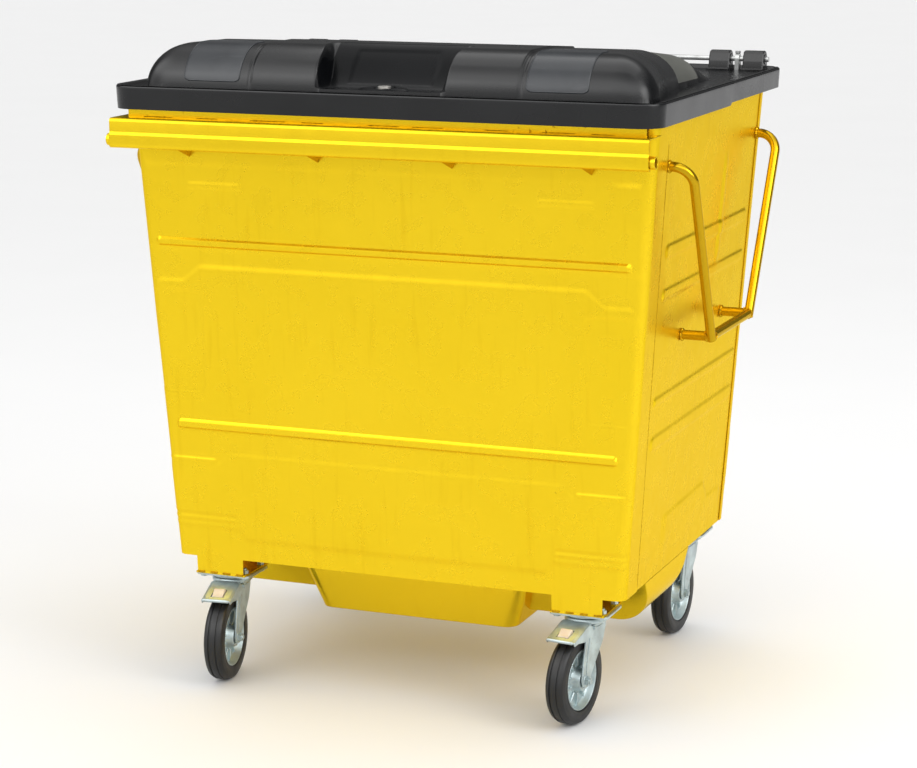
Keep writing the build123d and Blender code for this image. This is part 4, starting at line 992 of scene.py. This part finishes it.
def side_handle(side):
    """Two bent legs, a lower bar and two stubs, all of one tube size, with their welds."""
    top_x, top_z = HANDLE_TOP
    low_x, low_z = HANDLE_LOW
    top_wall = half_width(top_z)
    low_wall = half_width(low_z)
    paths = []
    welds = []
    for number, (top_y, low_y) in enumerate(zip(HANDLE_TOP_Y, HANDLE_LOW_Y)):
        foot = np.array((low_x, low_y, low_z))
        corner = np.array((top_x, top_y, top_z))
        leg_end = foot + unit(foot - corner) * 0.009
        paths.append(arc_path([(top_wall - 0.004, top_y, top_z), corner, leg_end], HANDLE_BEND, 14))
        paths.append([(low_wall - 0.004, low_y, low_z), (low_x - 0.004, low_y, low_z)])
        inward = 0.010 if number == 0 else -0.010
        for seed, place, normal, radius, size in (
            (3, (top_wall + 0.001, top_y, top_z), (1, 0, 0), 0.0115, 0.0032),
            (4, (low_wall + 0.001, low_y, low_z), (1, 0, 0), 0.0115, 0.0032),
            (5, foot + (-0.0095, 0, 0), (1, 0, 0.2), 0.0108, 0.0026),
            (7, foot + (0, inward, 0), (0, 1, 0), 0.0108, 0.0026),
        ):
            welds.append(weld_bead(ring_path(place, normal, radius), size, 10 * number + seed))
    paths.append([(low_x, HANDLE_LOW_Y[0] + 0.004, low_z), (low_x, HANDLE_LOW_Y[1] - 0.004, low_z)])
    points, faces = join_meshes([tube_mesh(path, HANDLE_RADIUS, 28) for path in paths] + welds)
    if side < 0:
        points[:, 0] *= -1
        faces = [face[::-1] for face in faces]
    name = f"{HANDS[side]}_handle"
    # The tubes take the darker copy of the paint: painted shade.
    add_piece(name + "_tubes", [(points, faces)], SHADED_TUBE_PAINT, "tub", [name])


# ---------------------------------------------------------------- lifting rail

def rail_sheet():
    """The folded rail: its shelf, its face, and the strip that hides the bar, slightly uneven."""
    low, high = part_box("lift_rail")
    bar_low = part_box("lift_tube")[0].z
    strip = low.y - 0.0030
    profile = [np.array(point) for point in (
        (high.y, high.z), (low.y, high.z), (low.y, low.z + 0.004), (strip, low.z - 0.001),
        (strip, bar_low - 0.001), (strip + 0.012, bar_low - 0.001),
    )]
    radii = (0.0055, 0.003, 0.003, 0.006)
    outer = [profile[0]]
    for before, corner, after, radius in zip(profile, profile[1:], profile[2:], radii):
        outer += corner_arc(before, corner, after, radius, 5)
    outer = np.array(outer + [profile[-1]])
    x = spread([low.x, high.x], 0.02)
    y = outer[:, :1]
    wave = np.maximum(0.0007 * np.sin(x * 9.0 + 0.6) + 0.0004 * np.sin(x * 23.0), 0)
    grid = grid_of(x, y + wave * (y < low.y + 0.02), outer[:, 1:])
    return sheet_mesh(grid[:, ::-1], -0.0024)


def rail_darts():
    """Folded gussets under the rail: a slanting three-cornered face that ends at the panel."""
    low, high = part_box("rail_darts")
    half = 0.0150
    top = high.z - 0.003
    faces = [[2, 1, 0], [3, 2, 0], [2, 4, 1], [1, 4, 3, 0], [4, 2, 3]]
    parts = []
    for x in (-0.470, -0.157, 0.157, 0.470):
        parts.append(([(x - half, low.y, top), (x + half, low.y, top), (x, high.y, low.z - 0.002),
                       (x - half, high.y, top), (x + half, high.y, top)], faces))
    # The gussets take the darker copy of the paint: painted shade on their faces.
    add_piece("rail_gussets", parts, SHADED_TUBE_PAINT, "tub", ["rail_darts"])


def rail():
    """The folded rail, with the welds above it and along its bar."""
    low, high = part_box("lift_rail")
    bar_low, bar_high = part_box("lift_tube")
    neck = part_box("front_rim")[0]
    welds = []
    random = np.random.default_rng(21)
    on_neck = (neck.y - 0.001, neck.z + 0.001, 0.0028)
    for start in np.linspace(low.x + 0.05, high.x - 0.13, 9):
        start = start + random.uniform(-0.02, 0.02)
        length = random.uniform(0.045, 0.085)
        welds.append(level_weld(start, length, *on_neck, int(start * 900) + 700))
    on_bar = (bar_low.y + 0.004, bar_high.z - 0.001, 0.0020)
    for start in np.linspace(low.x + 0.02, high.x - 0.06, 12):
        welds.append(level_weld(start, 0.03, *on_bar, int(start * 800) + 600))
    add_piece("rail_fold", [rail_sheet()], PAINT_PARTS, "tub", ["lift_rail"])
    add_piece("rail_welds", welds, NECK_PAINT, "tub")


def side_seams():
    """The weld down each side where the wrapped front sheet ends, in a darker copy of the paint: painted
    shade.
    """
    heights = np.linspace(Z_EDGE + 0.01, Z_HIGH - 0.06, 160)
    for side, hand in HANDS.items():
        path = [(side * (half_width(z) - 0.0008), front_y(z) + FRONT_WRAP, z) for z in heights]
        seam = weld_bead(path, 0.0016, 31 + side)
        add_piece(f"{hand}_front_seam", [seam], SHADED_SEAM_PAINT, "tub")


def tab_welds():
    """Short welds along the lower edge of the front foot tabs, in a darker copy of the paint: painted shade.
    """
    y = front_y(TAB_BOTTOM) - 0.0010
    beads = []
    for side in (-1, 1):
        for number, middle in enumerate(np.linspace(0.384, 0.481, 4)):
            seed = 50 + 10 * side + number
            beads.append(level_weld(side * middle - 0.009, 0.018, y, TAB_BOTTOM, 0.0026, seed))
    add_piece("tab_welds", beads, SHADED_SEAM_PAINT, "tub")


# ---------------------------------------------------------------- casters

def caster_facts(name):
    """A caster's swivel axis, the angle at which it rests, its trail and its wheel's height."""
    swivel = joints[f"{name}_swivel_turn"]["pos_m"]
    axis = joints[f"{name}_wheel_spin"]["axis"]
    wheel = joints[f"{name}_wheel_spin"]["pos_m"]
    trail = math.hypot(wheel[0] - swivel[0], wheel[1] - swivel[1])
    return (swivel[0], swivel[1]), math.atan2(axis[1], axis[0]), trail, wheel[2]


def add_caster_piece(name, piece, parts, material, body, node, sharp):
    """Parts drawn on the origin's swivel axis, brought to a caster's place and angle."""
    centre, angle = caster_facts(name)[:2]
    points, faces = join_meshes(parts)
    placed = (turned_about_z(points, centre, angle), faces)
    add_piece(f"{name}_{piece}", [placed], material, f"{name}_{body}", [f"{name}_{node}"], sharp)


def side_slab(outline, side, near, far, bevel):
    """A prism on one side of the middle, from near to far."""
    low, high = sorted((side * near, side * far))
    return prism_mesh(outline, low, high, "x", bevel)


def wheel_tyre(name):
    """Solid rubber tyre with a crowned tread, two grooves and stepped side walls."""
    trail, outer = caster_facts(name)[2:]
    wall = [(0.0675, 0.0190), (0.0700, 0.0215), (0.0730, 0.0222), (0.0750, 0.0215), (0.0765, 0.0218),
            (0.0880, 0.0220), (0.0900, 0.0212), (0.0918, 0.0215), (0.0950, 0.0200)]
    tread = [(0.0020, 0.0150), (0.0006, 0.0112), (0.0008, 0.0104), (0.0028, 0.0096), (0.0029, 0.0080),
             (0.0026, 0.0072), (0.0004, 0.0064), (0, 0.0030), (0, 0.0)]
    profile = wall + [(outer - depth, x) for depth, x in tread]
    profile = profile + [(r, -x) for r, x in profile[-2::-1]]
    parts = [lathe_mesh(profile, (0, -trail, outer), sides=120)]
    add_caster_piece(name, "tyre_rubber", parts, RUBBER, "wheel", "tyre", 50)


def wheel_rim(name):
    """Pressed rim: a rolled bead, a dished web with raised ribs, and a hub."""
    trail, height = caster_facts(name)[2:]
    half = 0.0195
    web = [
        (0.0675, half), (0.0668, half + 0.0012), (0.0652, half + 0.0010), (0.0640, half - 0.0010),
        (0.0622, 0.0090), (0.0585, 0.0045), (0.0400, 0.0030), (0.0290, 0.0060), (0.0245, 0.0130),
        (0.0232, 0.0225), (0.0222, 0.0250), (0.0155, 0.0252), (0.0152, 0.0240),
    ]
    parts = [lathe_mesh(web + [(r, -x) for r, x in web[::-1]], sides=96)]
    rib = [(0.026, 0.0060), (0.032, 0.0115), (0.050, 0.0105), (0.0605, 0.0078), (0.0600, 0.0020),
           (0.026, 0.0020)]
    ribs = 10
    for number in range(ribs):
        turn = 2 * math.pi * number / ribs
        c, s = math.cos(turn), math.sin(turn)
        for side in (-1, 1):
            outline = round_corners([(r, x * side) for r, x in rib], 0.0015, 3)
            points, faces = prism_mesh(outline, -0.0028, 0.0028, "z", 0.0012)
            x, y, z = points[:, 1], points[:, 2], points[:, 0]
            parts.append((grid_of(x, c * y - s * z, s * y + c * z), faces))
    points, faces = join_meshes(parts)
    parts = [(points + (0, -trail, height), faces)]
    add_caster_piece(name, "rim_pressing", parts, ZINC, "wheel", "wheel_rim", 30)


def fork_pressing(name):
    """One-piece pressed fork: a domed crown and two curved legs, each with a raised face and an axle boss."""
    trail, height = caster_facts(name)[2:]
    low, high = 0.2205, 0.232
    crown = [(0.0085, low), (0.044, low), (0.0462, low + 0.0020), (0.0462, high - 0.0045),
             (0.0440, high - 0.0008), (0.0380, high), (0.0375, high - 0.0016), (0.0285, high - 0.0016),
             (0.0280, high), (0.0085, high)]
    parts = [lathe_mesh(crown, upright=True)]
    leg = [(-0.036, 0.2255), (0.036, 0.2255), (0.0375, 0.205), (0.024, 0.172), (-0.004, 0.140),
           (-trail + 0.0205, height + 0.004), (-trail + 0.0140, height - 0.0150),
           (-trail - 0.0140, height - 0.0150), (-trail - 0.0205, height + 0.004), (-trail - 0.012, 0.150),
           (-0.058, 0.186), (-0.052, 0.205)]
    radii = [0.004, 0.006, 0.020, 0.030, 0.030, 0.014, 0.012, 0.012, 0.014, 0.030, 0.012, 0.012]
    leg = round_corners(leg, radii)
    middle = np.array((-0.012, 0.170))
    raised = middle + (leg - middle) * 0.72
    for side in (-1, 1):
        parts.append(side_slab(leg, side, 0.0270, 0.0312, 0.0010))
        parts.append(side_slab(raised, side, 0.0308, 0.0322, 0.0010))
        boss = [(0.0062, 0.0), (0.0150, 0.0), (0.0150, 0.0010), (0.0140, 0.0018), (0.0062, 0.0018)]
        points, faces = lathe_mesh(boss, sides=48)
        points = points * (side, 1, 1) + (side * 0.0308, -trail, height)
        parts.append((points, faces if side > 0 else [face[::-1] for face in faces]))
    add_caster_piece(name, "fork_pressing", parts, ZINC, "swivel", "fork", 35)


def plate_pressing(name):
    """Top plate with a pressed ring under it, the race and the kingpin."""
    centre = caster_facts(name)[0]
    low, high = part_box(f"{name}_plate")
    half_x = (high.x - low.x) / 2
    half_y = (high.y - low.y) / 2
    outline = round_corners(rectangle(-half_x, -half_y, half_x, half_y), 0.012)
    race = [(0.0082, 0.2100), (0.0135, 0.2100), (0.0140, 0.2110), (0.0140, 0.2148), (0.0082, 0.2150)]
    ring = [(0.0081, 0.2102), (0.0081, 0.2329), (0.0390, 0.2329), (0.0435, 0.2332), (0.0452, 0.2345),
            (0.0452, 0.2372), (0.0440, 0.2390), (0.0475, 0.2398), (0.0475, 0.2402), (0.0081, 0.2402)]
    kingpin = [(0.0001, 0.2108), (0.0080, 0.2108), (0.0080, 0.2395), (0.0001, 0.2395)]
    parts = [
        prism_mesh(outline, high.z - 0.006, high.z, "z", 0.0010),
        lathe_mesh(race, sides=36, upright=True),
        lathe_mesh(ring, upright=True),
        lathe_mesh(kingpin, sides=24, upright=True),
    ]
    points, faces = join_meshes(parts)
    parts = [(points + (*centre, 0), faces)]
    add_piece(f"{name}_plate_pressing", parts, ZINC, "tub", [f"{name}_plate"], 35)


def pedal_z(y):
    """Height of the hood's sloping top."""
    share = (y - PEDAL_FRONT[0]) / (PEDAL_REAR[0] - PEDAL_FRONT[0])
    return PEDAL_FRONT[1] + share * (PEDAL_REAR[1] - PEDAL_FRONT[1])


def brake_hood(name):
    """The brake's hood: a sloping top with a window, bent side flanges and a rolled bright lip."""
    parts = []
    for y_rear, y_front, x_low, x_high in (
        (PEDAL_REAR[0], WINDOW[1], -PEDAL_HALF, PEDAL_HALF),
        (WINDOW[0], PEDAL_FRONT[0], -PEDAL_HALF, PEDAL_HALF),
        (WINDOW[1], WINDOW[0], -PEDAL_HALF, -WINDOW_HALF),
        (WINDOW[1], WINDOW[0], WINDOW_HALF, PEDAL_HALF),
    ):
        x = np.linspace(x_low, x_high, 12)
        y = np.linspace(y_front, y_rear, 8)[:, None]
        drop = 0.0045 * smooth(np.abs(x), PEDAL_HALF - 0.008, PEDAL_HALF) ** 2
        parts.append(sheet_mesh(grid_of(x, y, pedal_z(y) - drop), PEDAL_SHEET))
    across = np.linspace(-1, 1, 16)
    lip = grid_of(across * (PEDAL_HALF - 0.002), PEDAL_FRONT[0], PEDAL_FRONT[1] - 0.0035)
    parts.append(tube_mesh(lip, 0.0042 * np.minimum(1, 0.6 + 6 * (1 - np.abs(across))), 16))
    top_y, top_z = PEDAL_REAR
    tip_y, tip_z = PEDAL_FRONT
    flange = [(top_y + 0.001, top_z - 0.003), (tip_y - 0.001, tip_z - 0.003), (tip_y + 0.002, tip_z - 0.012),
              (-0.100, 0.196), (-0.062, 0.190), (-0.018, 0.205), (-0.018, 0.2192), (-0.036, 0.2192)]
    flange = round_corners(flange, [0.001, 0.003, 0.004, 0.012, 0.020, 0.006, 0.004, 0.003], 5)
    for side in (-1, 1):
        parts.append(side_slab(flange, side, PEDAL_HALF - PEDAL_SHEET, PEDAL_HALF, 0.0008))
        low, high = sorted((side * 0.017, side * 0.026))
        parts.append(box_mesh((low, -0.084, 0.206), (high, -0.066, pedal_z(-0.084) - 0.001), 0.001))
    add_caster_piece(name, "hood", parts, ZINC, "brake", "pedal", 40)


def release_tongue(name):
    """The moulded tongue in the hood's window: a curved pad with a ridge across it."""
    rear = WINDOW[1] - 0.002
    front = WINDOW[0] + 0.002
    top = pedal_z(rear)
    tip = pedal_z(front)
    pad = [(rear, top - 0.004), (rear, top + 0.0030), (rear - 0.008, top + 0.0052),
           (rear - 0.014, top + 0.0005), (front + 0.006, tip + 0.0040), (front, tip + 0.0015),
           (front, tip - 0.0045), (rear - 0.004, top - 0.0085), (-0.049, 0.211), (-0.030, 0.2090),
           (-0.022, 0.2090), (-0.022, 0.2165), (-0.030, 0.2170), (-0.049, 0.2160)]
    radii = [0.002, 0.002, 0.003, 0.004, 0.003, 0.002, 0.001, 0.002, 0.003, 0.002, 0.002, 0.002, 0.002, 0.003]
    parts = [prism_mesh(round_corners(pad, radii, 4), -TONGUE_HALF, TONGUE_HALF, "x", 0.0012)]
    add_caster_piece(name, "tongue_moulding", parts, BEIGE, "release", "tongue", 40)


# ---------------------------------------------------------------- stage

def floor():
    """A wide white floor."""
    size = 40.0
    mesh = bpy.data.meshes.new("floor")
    mesh.from_pydata([(*corner, 0) for corner in rectangle(-size, -size, size, size)], [], [(0, 1, 2, 3)])
    plane = bpy.data.objects.new("floor", mesh)
    bpy.context.scene.collection.objects.link(plane)
    material, nodes = new_material("floor_paint")
    nodes.surface("Base Color", nodes.mix(nodes.noise(1.5, 2.0), (0.86, 0.86, 0.86), (0.88, 0.88, 0.88)))
    nodes.surface("Roughness", 0.9)
    mesh.materials.append(material)


def soft_light(name, place, size, power):
    """A rectangular lamp that faces the middle of the container."""
    light = bpy.data.lights.new(name, "AREA")
    light.shape = "RECTANGLE"
    light.size, light.size_y = size
    light.energy = power
    lamp = bpy.data.objects.new(name, light)
    lamp.location = place
    direction = Vector((0, 0, 0.8)) - Vector(place)
    lamp.rotation_euler = direction.to_track_quat("-Z", "Y").to_euler()
    bpy.context.scene.collection.objects.link(lamp)


def studio():
    """A white room; polished surfaces see it dim behind the object and bright overhead."""
    world = bpy.data.worlds.new("studio")
    bpy.context.scene.world = world
    world.use_nodes = True
    tree = world.node_tree
    nodes = Nodes(tree)
    plain = tree.nodes["Background"]
    nodes.set(plain.inputs["Color"], (1, 1, 1, 1))
    nodes.set(plain.inputs["Strength"], 1.0)
    place = nodes.add("ShaderNodeSeparateXYZ", Vector=nodes.place["Generated"]).outputs
    behind = nodes.ramp(place["Z"], *ROOM_BEHIND)
    before = nodes.ramp(place["Z"], *ROOM_BEFORE)
    depth = nodes.ramp(nodes.maths("ADD", place["Y"], 0.5), (0.35, 0.0), (0.65, 1.0))
    reflected = nodes.add("ShaderNodeBackground", Strength=4.0, Color=nodes.mix(depth, before, behind))
    blend = nodes.add("ShaderNodeMixShader", Fac=nodes.add("ShaderNodeLightPath").outputs["Is Glossy Ray"])
    nodes.set(blend.inputs[1], plain.outputs["Background"])
    nodes.set(blend.inputs[2], reflected.outputs["Background"])
    nodes.set(tree.nodes["World Output"].inputs["Surface"], blend.outputs["Shader"])
    soft_light("key_left", (-2.6, -4.2, 3.2), (2.5, 2.5), 25)
    soft_light("key_right", (4.2, -1.2, 2.8), (2.4, 2.4), 60)
    soft_light("top", (0.0, 0.5, 4.5), (3.5, 3.0), 30)


def camera():
    """The camera that took the photograph, as fitted to it."""
    data = bpy.data.cameras.new("camera")
    data.sensor_width = 36.0
    data.lens = CAMERA_LENS
    data.shift_x, data.shift_y = CAMERA_SHIFT
    data.clip_end = 100.0
    viewer = bpy.data.objects.new("camera", data)
    turn = Matrix.Rotation(math.radians(CAMERA_HEADING), 4, "Z")
    tilt = Matrix.Rotation(math.radians(90 - CAMERA_PITCH), 4, "X")
    roll = Matrix.Rotation(math.radians(CAMERA_ROLL), 4, "Z")
    viewer.matrix_world = Matrix.Translation(CAMERA_PLACE) @ turn @ tilt @ roll
    bpy.context.scene.collection.objects.link(viewer)
    bpy.context.scene.camera = viewer


camera()
floor()
studio()
finish_cad_nodes()
end_sheets()
for body_side in (-1, 1):
    side_sheet(body_side)
    side_handle(body_side)
    hinge_blocks(body_side)
rail()
rail_darts()
side_seams()
tab_welds()
lid_shell()
front_patches()
side_patches()
for caster in ("front_left", "front_right", "rear_left", "rear_right"):
    wheel_tyre(caster)
    wheel_rim(caster)
    fork_pressing(caster)
    plate_pressing(caster)
    if caster.startswith("front"):
        brake_hood(caster)
        release_tongue(caster)

bpy.context.scene.view_settings.view_transform = "Standard"
